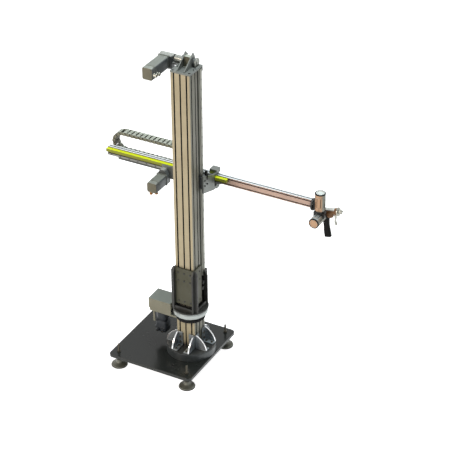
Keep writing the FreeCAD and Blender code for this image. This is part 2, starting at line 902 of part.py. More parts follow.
def make_bearing_stand():
    z0 = top_plate_top
    z1 = lift_axis_z + upright_above_axis
    crown = lift_axis_y - upright_crown
    back = top_plate_back - 3
    outline = [
        (upright_front, z0), (upright_front, z0 + 6), (crown, z1 - 8), (crown + 7, z1),
        (lift_axis_y - 6, z1), (lift_axis_y + 6, z1 - 20), (back, z0 + 12), (back, z0),
    ]
    side = []
    for x0 in (upright_x, -upright_x - upright_thickness):
        side.append(prism([(x0, y, z) for y, z in outline], (upright_thickness, 0, 0)))
    gusset_y = lift_axis_y - gusset_ahead
    left = -upright_x - upright_thickness
    end = left - gusset_width
    triangle = [(left, z0), (end, z0), (end, z0 + 5), (left, z0 + gusset_height)]
    gusset = prism([(x, gusset_y, z) for x, z in triangle], (0, 6, 0))
    body = joined([side[1], gusset])
    bore = lift_shaft_radius + 2
    reach = upright_x + 30
    hole = rod(bore, (-reach, lift_axis_y, lift_axis_z), (reach, lift_axis_y, lift_axis_z))
    return group([body.cut(hole), side[0].cut(hole)])


def make_lift_bearings():
    """Flanged bearing on the right upright, square pedestal bearing on the left one."""
    outer = upright_x + upright_thickness
    hole = lift_shaft_radius + shaft_clearance
    end = outer + lift_bearing_thickness
    right = rod(lift_bearing_radius, (outer, lift_axis_y, lift_axis_z), (end, lift_axis_y, lift_axis_z))
    left = box(-outer - 12, -outer, lift_axis_y - 21, lift_axis_y + 21, lift_axis_z - 18, lift_axis_z + 36)
    bore = rod(hole, (-outer - 20, lift_axis_y, lift_axis_z), (outer + 20, lift_axis_y, lift_axis_z))
    seat = box(-outer - 20, outer + 20, 0, top_plate_back + 20, column_head, top_plate_top)
    return group([right.cut([bore, seat]), left.cut([bore, seat])])


def make_lift_drive_pulley():
    """Shaft along X with the toothed pulley and the coupling hub on it."""
    start = gearbox_right + 3 + running_gap
    disc_x = upright_x + upright_thickness + lift_bearing_thickness + 1
    end = disc_x + drive_disc_thickness + 3
    centre = (lift_axis_y, lift_axis_z)
    shaft = rod(lift_shaft_radius, (start, *centre), (end, *centre))
    hub_end = -upright_x - upright_thickness - 12 - 1
    hub = rod(hub_radius, (start + 6, *centre), (hub_end - 6, *centre))
    groove = rod(hub_radius + 1, (start + 22, *centre), (start + 24, *centre))
    half = lift_belt_width / 2
    pulley = rod(lift_pulley_radius, (-half - 1, *centre), (half + 1, *centre))
    rim = lift_pulley_radius + 3
    flanges = [rod(rim, (x, *centre), (x + 1.5, *centre)) for x in (-half - 2.5, half + 1)]
    disc = rod(drive_disc_radius, (disc_x, *centre), (disc_x + drive_disc_thickness, *centre))
    return joined([shaft, hub, groove, pulley, disc] + flanges)


def make_lift_idler_pulley():
    inner = belt_slot_half_width + 2
    centre = (lift_axis_y, idler_axis_z)
    axle = rod(lift_shaft_radius, (-inner - 10, *centre), (inner + 10, *centre))
    collar = rod(idler_knob_radius, (inner + 6.5, *centre), (inner + 10, *centre))
    half = lift_belt_width / 2
    pulley = rod(lift_pulley_radius, (-half - 1, *centre), (half + 1, *centre))
    rim = lift_pulley_radius + 3
    flanges = [rod(rim, (x, *centre), (x + 1.5, *centre)) for x in (-half - 2.5, half + 1)]
    return joined([axle, collar, pulley] + flanges)


def make_lift_belt():
    radius = lift_pulley_radius + running_gap
    low = (idler_axis_z, lift_axis_y)
    high = (lift_axis_z, lift_axis_y)
    belt = belt_solid(low, radius, high, radius, lift_belt_width)
    turn = Base.Matrix(0, 0, 1, -lift_belt_width / 2, 0, 1, 0, 0, 1, 0, 0, 0, 0, 0, 0, 1)
    return belt.transformGeometry(turn)


def make_lift_gearbox():
    """Right-angle gear: the output shaft lies across at the top of the rear side."""
    x0 = gearbox_left
    x1 = gearbox_right
    z0 = lift_axis_z - gearbox_below_axis
    z1 = lift_axis_z + gearbox_above_axis
    body = box(x0, x1, gearbox_front, gearbox_back, z0, z1)
    body = body.makeChamfer(2.5, body.Edges)
    boss = rod(gearbox_boss_radius, (x0 - 4, lift_axis_y, lift_axis_z), (x1 + 3, lift_axis_y, lift_axis_z))
    centre = (lift_axis_y, lift_axis_z)
    bore = rod(lift_shaft_radius + 3, (x1 - 6, *centre), (x1 + 4, *centre))
    near = gearbox_front + 6
    bar = box(x1 - 14, -top_plate_half_width, near, near + 24, column_head, top_plate_top)
    return joined([body, boss, bar]).cut(bore)


def make_lift_motor():
    motor = motor_body(motor_width, motor_height, motor_length, motor_chamfer)
    motor.translate(Base.Vector(lift_motor_x, gearbox_front, lift_motor_z))
    return motor


def make_lift_motor_sockets():
    face = lift_motor_x + motor_width / 2 - 2.5
    end = gearbox_front - motor_length
    return group([plug_socket((face, end + 18, lift_motor_z - 6), (1, 0, 0)),
                  plug_socket((face, end + 50, lift_motor_z - 12), (1, 0, 0))])


# Carriage

def make_runner_blocks():
    """Two blocks on the column rails and two on the arm rail."""
    y0 = lift_rail_y - lift_runner_width / 2
    y1 = lift_rail_y + lift_runner_width / 2
    z0 = carriage_level - lift_runner_length / 2
    z1 = z0 + lift_runner_length
    half = lift_rail_width / 2 + running_gap
    rail_top = guide_half_width + lift_rail_height + running_gap
    block = box(guide_half_width + 3, runner_face, y0, y1, z0, z1)
    groove = box(guide_half_width, rail_top, lift_rail_y - half, lift_rail_y + half, z0 - 1, z1 + 1)
    right = block.cut(groove)
    blocks = [right, mirror_x(right)]
    arm_half = arm_rail_width / 2 + running_gap
    rail_face = arm_y0 - arm_rail_height - running_gap
    for x in (-arm_runner_x, arm_runner_x):
        x0 = x - arm_runner_length / 2
        x1 = x + arm_runner_length / 2
        low = arm_rail_z - arm_runner_width / 2
        high = arm_rail_z + arm_runner_width / 2 - arm_runner_gap
        block = box(x0, x1, cross_plate_y1, arm_y0 - 3, low, high)
        groove = box(x0 - 1, x1 + 1, rail_face, arm_y0, arm_rail_z - arm_half, arm_rail_z + arm_half)
        blocks.append(block.cut(groove))
    return group(blocks)


def make_carriage_side_plates():
    z = carriage_level
    upper_horn = (rack_top + 5, rack_top + 5 + horn_height)
    lower_horn = (z + side_plate_back_bottom, z + side_plate_back_bottom + horn_height)
    back = side_plate_back
    tip = arm_y0
    outline = [
        (side_plate_front, z + side_plate_front_bottom), (side_plate_front, z + side_plate_front_top),
        (back, upper_horn[1]), (tip, upper_horn[1]), (tip, upper_horn[0]), (back, upper_horn[0]),
        (back, lower_horn[1]), (tip, lower_horn[1]), (tip, lower_horn[0]), (back, lower_horn[0]),
    ]
    right = prism([(runner_face, y, v) for y, v in outline], (side_plate_thickness, 0, 0))
    holes = []
    for dy in (-14, 14):
        for dz in (-17, 17):
            start = (runner_face - 1, lift_rail_y + dy, z + dz)
            holes.append(rod(screw_radius - 1, start, (plate_outer + 1, start[1], start[2])))
    right = right.cut(holes)
    return group([right, mirror_x(right)])


def make_carriage_cross_plate():
    y0 = cross_plate_y0
    y1 = cross_plate_y1
    z0 = carriage_level + side_plate_back_bottom
    low = arm_z0 - cross_plate_drop
    high = rack_top - 1
    head = high + cross_plate_rise
    outline = [
        (cross_plate_left, low), (cross_plate_left, high), (-plate_outer, high), (-plate_outer, head),
        (plate_outer, head), (plate_outer, z0), (-plate_outer, z0),
        (-plate_outer - cross_plate_taper, low),
    ]
    plate = prism([(x, y0, z) for x, z in outline], (0, y1 - y0, 0))
    shaft_hole = rod(pinion_shaft_radius + 4, (pinion_x, y0 - 1, pinion_z), (pinion_x, y1 + 1, pinion_z))
    plate = plate.cut([shaft_hole, make_carriage_side_plates()])
    half = clamp_width / 2
    belt_back = lift_axis_y + lift_pulley_radius + running_gap + belt_thickness
    clamp_z = carriage_level - 30
    arm = box(-half + 8, half - 8, belt_back, y0, clamp_z, clamp_z + 14)
    pad = box(-half, half, belt_back, belt_back + clamp_thickness, clamp_z - 8, clamp_z - 8 + clamp_height)
    return joined([plate, arm, pad])


def make_arm_guide_blocks():
    x0 = guide_block_inner_x
    x1 = plate_outer
    y1 = chain_y0 - 5
    roller_gap = 3.0
    top = box(x0, x1, arm_y0, y1, arm_z1 + roller_gap, arm_z1 + roller_gap + guide_block_top)
    lower = arm_z0 - roller_gap * 2
    bottom = box(x0, x1, arm_y0, tray_y0, lower - guide_block_bottom, lower)
    pads = []
    for x in (x0 + 6, x1 - 18):
        pads.append(box(x, x + 12, arm_y0 + 5, arm_y1 - 5, arm_z1 + running_gap, arm_z1 + roller_gap))
        pads.append(box(x, x + 12, arm_y0 + 5, arm_y1 - 5, lower, arm_z0 - running_gap))
    right = [joined([top, pads[0], pads[2]]), joined([bottom, pads[1], pads[3]])]
    return group(right + [mirror_x(s) for s in right])


def make_limit_switch():
    """Small switch with a roller lever on the upper edge of the right side plate."""
    y = lift_rail_y + limit_switch_ahead
    reach = limit_switch_width / 2
    share = (y - reach - side_plate_front) / (side_plate_back - side_plate_front)
    front_top = carriage_level + side_plate_front_top
    back_top = rack_top + 5 + horn_height
    z = front_top + (back_top - front_top) * share
    foot = box(runner_face - 5, plate_outer + 2, y - reach, y + reach, z, z + 3)
    tab = box(plate_outer, plate_outer + 2, y - reach, y + reach, z - 16, z)
    case = box(runner_face - 4, runner_face + 8, y - 10, y + 10, z + 3, z + 26)
    lever = rod(2.5, (runner_face + 2, y, z + 25), (runner_face + 2, y - 12, z + 36))
    roller = rod(5, (runner_face - 1, y - 12, z + 37), (runner_face + 5, y - 12, z + 37))
    return joined([foot, case, lever, roller, tab])


def make_chain_bracket():
    """Bent sheet on the back of the arm that lifts the moving end of the chain."""
    x0 = chain_anchor_x() - 26
    x1 = chain_anchor_x() + 34
    shelf = chain_axis_z + chain_radius - chain_height / 2
    t = bracket_sheet
    y0 = chain_y0 - 1 - t
    low = arm_z1 - 12
    foot = box(x0, x1, arm_y1, arm_y1 + t, low - 24, low)
    arm = box(x0, x1, arm_y1, y0 + t, low - t, low)
    upright = box(x0, x1, y0, y0 + t, low - t, shelf)
    table = box(x0, x1, y0, chain_y1, shelf - t, shelf)
    rib = prism([(x0, y0 + t, shelf - 34), (x0, y0 + t, shelf), (x0, chain_y1 - 12, shelf)], (t, 0, 0))
    return joined([foot, arm, upright, table, rib])


def make_arm_gearbox():
    """Offset reduction gear: the motor sits low, the pinion shaft comes out high."""
    y0 = cross_plate_y0 - arm_gearbox_length
    y1 = cross_plate_y0
    half = arm_motor_size / 2
    axis_z = pinion_z - arm_motor_drop
    nose = pinion_shaft_radius + 12
    outline = [
        (pinion_x - half, axis_z - half + 8), (pinion_x - half + 8, axis_z - half),
        (pinion_x + half - 8, axis_z - half), (pinion_x + half, axis_z - half + 8),
        (pinion_x + half, axis_z + half - 8), (pinion_x + nose, pinion_z + nose - 6),
        (pinion_x + nose - 6, pinion_z + nose), (pinion_x - nose + 6, pinion_z + nose),
        (pinion_x - nose, pinion_z + nose - 6), (pinion_x - half, axis_z + half - 8),
    ]
    body = prism([(x, y0, z) for x, z in outline], (0, y1 - y0, 0))
    hole = pinion_shaft_radius + shaft_clearance
    bore = rod(hole, (pinion_x, y1 - 20, pinion_z), (pinion_x, y1 + 1, pinion_z))
    return body.cut(bore)


def make_arm_motor():
    motor = motor_body(arm_motor_size, arm_motor_size, arm_motor_length, motor_chamfer + 2)
    motor.translate(Base.Vector(pinion_x, cross_plate_y0 - arm_gearbox_length, pinion_z - arm_motor_drop))
    return motor


def make_arm_motor_sockets():
    end = cross_plate_y0 - arm_gearbox_length - arm_motor_length
    low = pinion_z - arm_motor_drop - arm_motor_size / 2 + 2.5
    return group([plug_socket((pinion_x - 12, end + 14, low), (0, 0, -1)),
                  plug_socket((pinion_x + 14, end + 30, low), (0, 0, -1))])


# Arm

def make_arm_pinion():
    """Involute-like spur pinion, one tooth pointing up into a rack space."""
    root = pinion_pitch_radius - 1.2 * rack_module
    tip = pinion_pitch_radius + 0.95 * rack_module
    step = 2 * math.pi / pinion_teeth
    points = []
    for i in range(pinion_teeth):
        middle = math.pi / 2 + i * step
        for radius, share in ((root, -0.34), (pinion_pitch_radius, -0.235), (tip, -0.11),
                              (tip, 0.11), (pinion_pitch_radius, 0.235), (root, 0.34)):
            angle = middle + share * step
            x = pinion_x + radius * math.cos(angle)
            z = pinion_z + radius * math.sin(angle)
            points.append((x, rack_front_y + 0.5, z))
    gear = prism(points, (0, pinion_width, 0))
    end = (pinion_x, rack_front_y + 1, pinion_z)
    shaft = rod(pinion_shaft_radius, (pinion_x, cross_plate_y0 - 19, pinion_z), end)
    boss = rod(pinion_shaft_radius + 3, (pinion_x, cross_plate_y1 - 6, pinion_z), end)
    return joined([gear, shaft, boss])


def make_arm_rack():
    """Rack with trapezoid teeth facing down, in phase with the pinion."""
    pitch = math.pi * rack_module
    root = rack_pitch_z + 1.25 * rack_module
    tip = rack_bottom
    slope = math.tan(math.radians(20))
    first = math.ceil((arm_left + pitch / 2 - pinion_x) / pitch)
    last = math.floor((arm_left + rack_length - pitch / 2 - pinion_x) / pitch)
    half_space = pitch / 4 + tooth_backlash
    root_half = half_space - slope * (root - rack_pitch_z)
    tip_half = half_space + slope * (rack_pitch_z - tip)
    points = [(arm_left, rack_top), (arm_left, tip)]
    for i in range(first, last + 1):
        x = pinion_x + i * pitch
        points += [(x - tip_half, tip), (x - root_half, root), (x + root_half, root), (x + tip_half, tip)]
    points += [(arm_left + rack_length, tip), (arm_left + rack_length, rack_top)]
    return prism([(x, rack_front_y, z) for x, z in points], (0, rack_depth, 0))


def make_arm_profile():
    body = box(arm_left, arm_right, arm_y0, arm_y1, arm_z0, arm_z1)
    half = arm_groove / 2
    middle_y = (arm_y0 + arm_y1) / 2
    cutters = []
    for z in (arm_rail_z, arm_upper_groove_z):
        cutters.append(box(arm_left, arm_right, arm_y0 - 1, arm_y0 + arm_groove_depth, z - half, z + half))
        cutters.append(box(arm_left, arm_right, arm_y1 - arm_groove_depth, arm_y1 + 1, z - half, z + half))
    for z0, z1 in ((arm_z0 - 1, arm_z0 + arm_groove_depth), (arm_z1 - arm_groove_depth, arm_z1 + 1)):
        cutters.append(box(arm_left, arm_right, middle_y - half, middle_y + half, z0, z1))
    core_y = arm_depth / 2 - arm_groove_depth - 2.5
    core_z = arm_height / 2 - arm_groove_depth - 5
    middle_z = (arm_z0 + arm_z1) / 2
    low = middle_z - core_z
    high = middle_z + core_z
    cutters.append(box(arm_left, arm_right, middle_y - core_y, middle_y + core_y, low, high))
    return body.cut(cutters)


def make_arm_rail():
    half = arm_rail_width / 2
    h = arm_rail_height
    face = arm_y0
    outline = [
        (face, -half), (face - h * 0.4, -half), (face - h * 0.55, -half + 2),
        (face - h * 0.8, -half + 0.8), (face - h, -half + 1.5), (face - h, half - 1.5),
        (face - h * 0.8, half - 0.8), (face - h * 0.55, half - 2), (face - h * 0.4, half), (face, half),
    ]
    x0 = arm_left + 4
    return prism([(x0, y, arm_rail_z + v) for y, v in outline], (arm_rail_length, 0, 0))


def make_arm_flange():
    z = (arm_z0 + arm_z1) / 2 - arm_flange_drop
    start = (arm_right, yaw_y, z)
    disc = rod(arm_flange_radius, start, (arm_right + arm_flange_thickness, yaw_y, z))
    neck_end = yaw_x - wrist_motor_radius + 9
    neck = box(arm_right + arm_flange_thickness, neck_end, yaw_y - 20, yaw_y + 20, z - 24, z + 24)
    pocket = rod(wrist_motor_radius, (yaw_x, yaw_y, yaw_bottom - 1), (yaw_x, yaw_y, yaw_top + 1))
    return joined([disc, neck]).cut(pocket)


def wrist_motor(length):
    """Small round servo along +Z from Z = 0, with a seam and a flat with a key recess."""
    radius = wrist_motor_radius
    body = revolve([
        (0, 0), (radius - 8, 0), (radius - 1, 6), (radius, 8), (radius, length - 22),
        (radius - 1, length - 21), (radius - 1, length - 19), (radius, length - 18),
        (radius, length - 3), (radius - 3, length), (0, length),
    ])
    flat = box(-radius * 0.45, radius * 0.45, -radius - 1, -radius + 2.5, length - 40, length - 8)
    return body.cut(flat)


def make_wrist_yaw_motor():
    motor = wrist_motor(wrist_motor_height)
    motor.translate(Base.Vector(yaw_x, yaw_y, yaw_bottom))
    return motor


def make_wrist_saddle():
    """Turning collar under the upper motor, with the cradle for the lower one."""
    top = yaw_bottom - running_gap
    half = saddle_width / 2
    radius = wrist_motor_radius
    collar = rod(radius - 9, (yaw_x, yaw_y, pitch_z), (yaw_x, yaw_y, top))
    side = radius + 2
    cradle = box(yaw_x - side, yaw_x + side, yaw_y - half, yaw_y + half, pitch_z + 4, pitch_z + radius + 6)
    tunnel = rod(radius, (yaw_x, yaw_y - half - 30, pitch_z), (yaw_x, yaw_y + half + 30, pitch_z))
    return joined([collar, cradle]).cut(tunnel)


def make_wrist_pitch_motor():
    motor = wrist_motor(pitch_motor_length)
    motor.rotate(Base.Vector(0, 0, 0), Base.Vector(1, 0, 0), 90)
    motor.translate(Base.Vector(yaw_x, pitch_motor_front + pitch_motor_length, pitch_z))
    return motor


# Spray gun, drawn level along +X from the pitch axis and then pitched up

def pitched(shape):
    centre = Base.Vector(yaw_x, 0, pitch_z)
    shape.rotate(centre, Base.Vector(0, 1, 0), -gun_pitch_up)
    return shape


def barrel_start():
    return yaw_x + 10


def barrel_z():
    return pitch_z + gun_barrel_offset


def make_gun_clamp():
    y0 = pitch_motor_front + pitch_motor_length + running_gap
    y1 = gun_y - gun_body_radius + 4
    hub = rod(17, (yaw_x, y0, pitch_z), (yaw_x, y1, pitch_z))
    block = box(yaw_x - 12, yaw_x + 26, y0 + 4, y1, pitch_z - 14, barrel_z() + 5)
    return pitched(joined([hub, block]))


def make_gun_body():
    z = barrel_z()
    x0 = barrel_start()
    radius = gun_body_radius
    length = gun_body_length
    wall = gun_y - gun_body_radius + 4
    barrel = rod(radius, (x0, gun_y, z), (x0 + length, gun_y, z))
    tail = rod(radius - 6, (x0 - 16, gun_y, z), (x0, gun_y, z))
    knob = rod(radius - 9, (x0 - 30, gun_y, z), (x0 - 16, gun_y, z))
    head = rod(radius + 4, (x0 + length - 12, gun_y, z), (x0 + length, gun_y, z))
    shoulder = box(x0 - 12, x0 + 56, gun_y - radius + 4, gun_y + radius - 4, z - radius - 12, z)
    body = joined([barrel, tail, knob, head, shoulder])
    pin_x, pin_z = trigger_pivot()
    half = trigger_half_width() + running_gap
    room = trigger_hub_radius + running_gap
    hub_room = rod(room, (pin_x, gun_y - half, pin_z), (pin_x, gun_y + half, pin_z))
    ears = []
    for y in (gun_y - half - trigger_ear, gun_y + half):
        ears.append(box(pin_x - 4, pin_x + 4, y, y + trigger_ear, pin_z - 3, z - 8))
    ear_end = half + trigger_ear
    pin = rod(trigger_pin_radius, (pin_x, gun_y - ear_end, pin_z), (pin_x, gun_y + ear_end, pin_z))
    seat = box(x0 - 40, x0 + length + 5, wall - 40, wall, z - 60, z + 60)
    return pitched(body.cut([seat, hub_room]).fuse(ears + [pin]))


def make_gun_top():
    """Pale cover along the top of the gun body."""
    z = barrel_z()
    x0 = barrel_start() + gun_top_setback
    radius = gun_body_radius
    length = gun_body_length - 14 - gun_top_setback
    cap = rod(radius + 4, (x0, gun_y, z), (x0 + length, gun_y, z))
    core = rod(radius, (x0 - 1, gun_y, z), (x0 + length + 1, gun_y, z))
    lower = box(x0 - 1, x0 + length + 1, gun_y - 40, gun_y + 40, z - 40, z + 6)
    clearance = box(x0 - 1, x0 + length + 1, gun_y - 40, yaw_y + wrist_motor_radius + 1, z - 40, z + 40)
    return pitched(cap.cut([core, lower, clearance]))


def handle_base():
    return barrel_start() - 12, barrel_z() - gun_body_radius - 12


def make_gun_handle():
    """Tapered grip, lofted between rounded sections."""
    x0, z1 = handle_base()
    sections = []
    for share, width, shift in ((0, 1.0, 0), (0.5, 0.86, -5), (0.85, 0.9, -9), (1.0, 0.95, -10)):
        half_x = handle_width * width / 2
        half_y = handle_thickness / 2 * (1 - 0.1 * share)
        cut = 7.0
        x = x0 + handle_width / 2 - 4 + shift
        z = z1 - share * handle_length
        outline = [
            (-half_x + cut, -half_y), (half_x - cut, -half_y), (half_x, -half_y + cut),
            (half_x, half_y - cut), (half_x - cut, half_y), (-half_x + cut, half_y),
            (-half_x, half_y - cut), (-half_x, -half_y + cut),
        ]
        corners = [Base.Vector(x + u, gun_y + v, z) for u, v in outline]
        sections.append(Part.makePolygon(corners + [corners[0]]))
    grip = Part.makeLoft(sections, True, True)
    low = z1 - handle_length
    mouth_x = x0 + handle_width / 2 - 14
    inlet = rod(air_inlet_radius, (mouth_x, gun_y, low - 1), (mouth_x, gun_y, low + air_inlet_depth))
    return pitched(grip.cut(inlet))


def make_air_cap():
    """Disc, air cap with two horns and fluid nozzle at the front of the gun."""
    z = barrel_z()
    x0 = barrel_start() + gun_body_length
    disc = rod(air_cap_radius, (x0, gun_y, z), (x0 + air_cap_thickness, gun_y, z))
    neck = rod(nozzle_radius - 3, (x0 + air_cap_thickness, gun_y, z), (x0 + 20, gun_y, z))
    ring = rod(nozzle_radius, (x0 + 17, gun_y, z), (x0 + 25, gun_y, z))
    horns = []
    for side in (-1, 1):
        horns.append(box(x0 + 20, x0 + 30, gun_y + side * 9 - 3, gun_y + side * 9 + 3, z - 4, z + 4))
    spout = rod(2, (x0 + 24, gun_y, z), (x0 + 29, gun_y, z))
    return pitched(joined([disc, neck, ring, spout] + horns))


def trigger_pivot():
    return barrel_start() + 66, barrel_z() - gun_body_radius - trigger_gap


def trigger_half_width():
    return gun_body_radius - 9


def make_gun_trigger():
    x, z = trigger_pivot()
    half = trigger_half_width()
    outline = [(x - 3, z), (x + 3, z), (x + 1, z - 22), (x - 6, z - 46), (x - 2, z - 66),
               (x - 7, z - 66), (x - 11, z - 45), (x - 5, z - 22)]
    blade = prism([(u, gun_y - half, v) for u, v in outline], (0, 2 * half, 0))
    hub = rod(trigger_hub_radius, (x, gun_y - half, z), (x, gun_y + half, z))
    bore = rod(trigger_pin_radius + shaft_clearance, (x, gun_y - half - 1, z), (x, gun_y + half + 1, z))
    return pitched(joined([blade, hub]).cut(bore))


# Energy chain

def chain_link():
    """One link along +X: side walls inside at the rear pin and outside at the front pin."""
    half = chain_width / 2
    over = chain_end_overrun
    inner = chain_wall + chain_wall_gap
    z0 = -chain_height / 2
    z1 = chain_height / 2
    walls = []
    for side in (-1, 1):
        outline = [(-over, inner), (-over, inner + chain_wall), (chain_pitch * 0.5, inner + chain_wall),
                   (chain_pitch * 0.55, chain_wall), (chain_pitch + over, chain_wall),
                   (chain_pitch + over, 0), (chain_pitch * 0.4, 0), (chain_pitch * 0.35, inner)]
        walls.append(prism([(x, side * (half - v), z0) for x, v in outline], (0, 0, z1 - z0)))
    bars = []
    reach = half - chain_wall / 2
    for low in (z0, z1 - chain_bar):
        bars.append(box(chain_pitch * 0.3, chain_pitch * 0.7, -reach, reach, low, low + chain_bar))
    return joined(walls + bars)


def chain_anchor_x():
    return chain_loop_x + chain_run_links * chain_pitch


def chain_middle_y():
    return (chain_y0 + chain_y1) / 2


def place_link(x, z, angle):
    link = chain_link()
    link.rotate(Base.Vector(0, 0, 0), Base.Vector(0, 1, 0), angle)
    link.translate(Base.Vector(x, chain_middle_y(), z))
    return link


def make_chain_lower_run():
    z = chain_axis_z - chain_radius
    return group([place_link(chain_loop_x + i * chain_pitch, z, 0) for i in range(chain_run_links)])


def make_chain_upper_run():
    z = chain_axis_z + chain_radius
    first = chain_loop_x + chain_pitch
    return group([place_link(first + i * chain_pitch, z, 180) for i in range(chain_run_links)])


def make_chain_loop():
    """Half turn at the left end: the pins lie on a circle of the bend radius."""
    step = 2 * math.asin(chain_pitch / 2 / chain_radius)
    count = int(math.pi / step)
    spare = (math.pi - count * step) / 2
    links = []
    for i in range(count):
        start = math.pi / 2 + spare + i * step
        x = chain_loop_x + chain_radius * math.cos(start)
        z = chain_axis_z + chain_radius * math.sin(start)
        heading = start + step / 2 + math.pi / 2
        links.append(place_link(x, z, -math.degrees(heading)))
    left = chain_loop_x - chain_radius - chain_height
    right = chain_loop_x + chain_radius + chain_height
    below = box(left, right, chain_y0 - 1, chain_y1 + 1, chain_z - 20, chain_z)
    return group([link.cut(below) for link in links])


def make_chain_tray():
    """Angle sheet on the lower guide blocks that carries the lower run."""
    t = tray_thickness
    x0 = chain_loop_x - tray_overhang
    z1 = chain_z
    ledge = box(x0, plate_outer, tray_y0, chain_y1 + 2, z1 - t, z1)
    flange = box(x0, plate_outer, tray_y0, tray_y0 + t, z1 - tray_flange_height, z1)
    return joined([ledge, flange])


def build():
    os.makedirs("parts", exist_ok=True)
    save("base_plate", make_base_plate())
    for number, (x, y) in enumerate(foot_positions(), 1):
        save("levelling_foot_" + str(number), make_levelling_foot(x, y))
    save("foot_lock_nuts", make_lock_nuts())
    save("foot_disc", make_foot_disc())
    save("lower_column", t_slot_column(stub_size, stub_size, disc_top, stub_top))
    save("foot_brackets", around_stub([bracket_blank()]))
    save("bracket_screws", around_stub(bracket_screw_set()))
    save("slew_base_flange", make_slew_base_flange())
    save("slew_ring", make_slew_ring())
    save("swivel_belt", make_swivel_belt())
    save("swivel_drive_pulley", make_swivel_drive_pulley())
    save("swivel_cover", make_swivel_cover())
    save("swivel_gearbox", make_swivel_gearbox())
    save("swivel_motor", make_swivel_motor())
    save("swivel_motor_sockets", make_swivel_motor_sockets())
    save("turret_frame", make_turret_frame())
    save("turret_plates", make_turret_plates())
    save("turret_screws", make_turret_screws())
    save("main_column", make_main_column())
    save("column_guide", make_column_guide())
    save("lift_rails", make_lift_rails())
    save("top_plate", make_top_plate())
    save("bearing_stand", make_bearing_stand())
    save("lift_bearings", make_lift_bearings())
    save("lift_drive_pulley", make_lift_drive_pulley())
    save("lift_idler_pulley", make_lift_idler_pulley())
    save("lift_belt", make_lift_belt())
    save("lift_gearbox", make_lift_gearbox())
    save("lift_motor", make_lift_motor())
    save("lift_motor_sockets", make_lift_motor_sockets())
    save("runner_blocks", make_runner_blocks())
    save("carriage_side_plates", make_carriage_side_plates())
    save("carriage_cross_plate", make_carriage_cross_plate())
    save("arm_guide_blocks", make_arm_guide_blocks())
    save("limit_switch", make_limit_switch())
    save("chain_bracket", make_chain_bracket())
    save("arm_gearbox", make_arm_gearbox())
    save("arm_motor", make_arm_motor())
    save("arm_motor_sockets", make_arm_motor_sockets())
    save("arm_pinion", make_arm_pinion())
    save("arm_rack", make_arm_rack())
    save("arm_profile", make_arm_profile())
    save("arm_rail", make_arm_rail())
    save("arm_flange", make_arm_flange())
    save("chain_upper_run", make_chain_upper_run())
    save("chain_lower_run", make_chain_lower_run())
    save("chain_loop", make_chain_loop())
    save("chain_tray", make_chain_tray())
    save("wrist_yaw_motor", make_wrist_yaw_motor())
    save("wrist_saddle", make_wrist_saddle())
    save("wrist_pitch_motor", make_wrist_pitch_motor())
    save("gun_clamp", make_gun_clamp())
    save("gun_body", make_gun_body())
    save("gun_top", make_gun_top())
    save("gun_handle", make_gun_handle())
    save("gun_trigger", make_gun_trigger())
    save("air_cap", make_air_cap())


build()
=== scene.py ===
import logging
import math
from collections.abc import Callable
from dataclasses import dataclass, field
from enum import Enum

import bmesh
import bpy
from mathutils import Matrix, Vector


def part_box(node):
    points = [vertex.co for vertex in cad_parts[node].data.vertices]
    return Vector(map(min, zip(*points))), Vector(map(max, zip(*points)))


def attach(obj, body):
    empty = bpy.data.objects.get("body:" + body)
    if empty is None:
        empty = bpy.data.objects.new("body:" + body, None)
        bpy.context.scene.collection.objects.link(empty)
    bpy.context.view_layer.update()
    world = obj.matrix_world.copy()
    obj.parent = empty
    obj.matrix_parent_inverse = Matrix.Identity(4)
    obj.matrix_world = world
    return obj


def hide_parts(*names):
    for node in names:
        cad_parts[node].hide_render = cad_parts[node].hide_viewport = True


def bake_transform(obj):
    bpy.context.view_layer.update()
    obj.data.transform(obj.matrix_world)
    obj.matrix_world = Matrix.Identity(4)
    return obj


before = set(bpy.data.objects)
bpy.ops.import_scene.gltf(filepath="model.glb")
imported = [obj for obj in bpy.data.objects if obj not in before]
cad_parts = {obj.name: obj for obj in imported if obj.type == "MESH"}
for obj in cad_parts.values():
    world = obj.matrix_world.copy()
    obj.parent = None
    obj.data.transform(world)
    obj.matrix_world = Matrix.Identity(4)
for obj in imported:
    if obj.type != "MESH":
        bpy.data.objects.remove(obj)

LOG = logging.getLogger("painting_robot")
MM = 0.001
# Colour of the painted shade in slots and recesses.
PAINTED_SLOT_SHADE = (0.006, 0.01, 0.022)
EDGE_RADIUS = 0.0009
RELIEF_DEPTH = 0.0004
SHARP_ANGLE = 34.0
SOFT_ANGLE = 0.6
UP = (0, 0, 1)
WHITE = (1.0, 1.0, 1.0, 1.0)

Colour = tuple[float, float, float]
Point = tuple[float, float, float]
Outline = list[tuple[float, float]]
Socket = bpy.types.NodeSocket


class Grain(Enum):
    """How the fine relief of a surface runs."""

    ALONG_X = "along_x"
    ALONG_Z = "along_z"
    TURNED = "turned"
    PEEL = "peel"
    CAST = "cast"


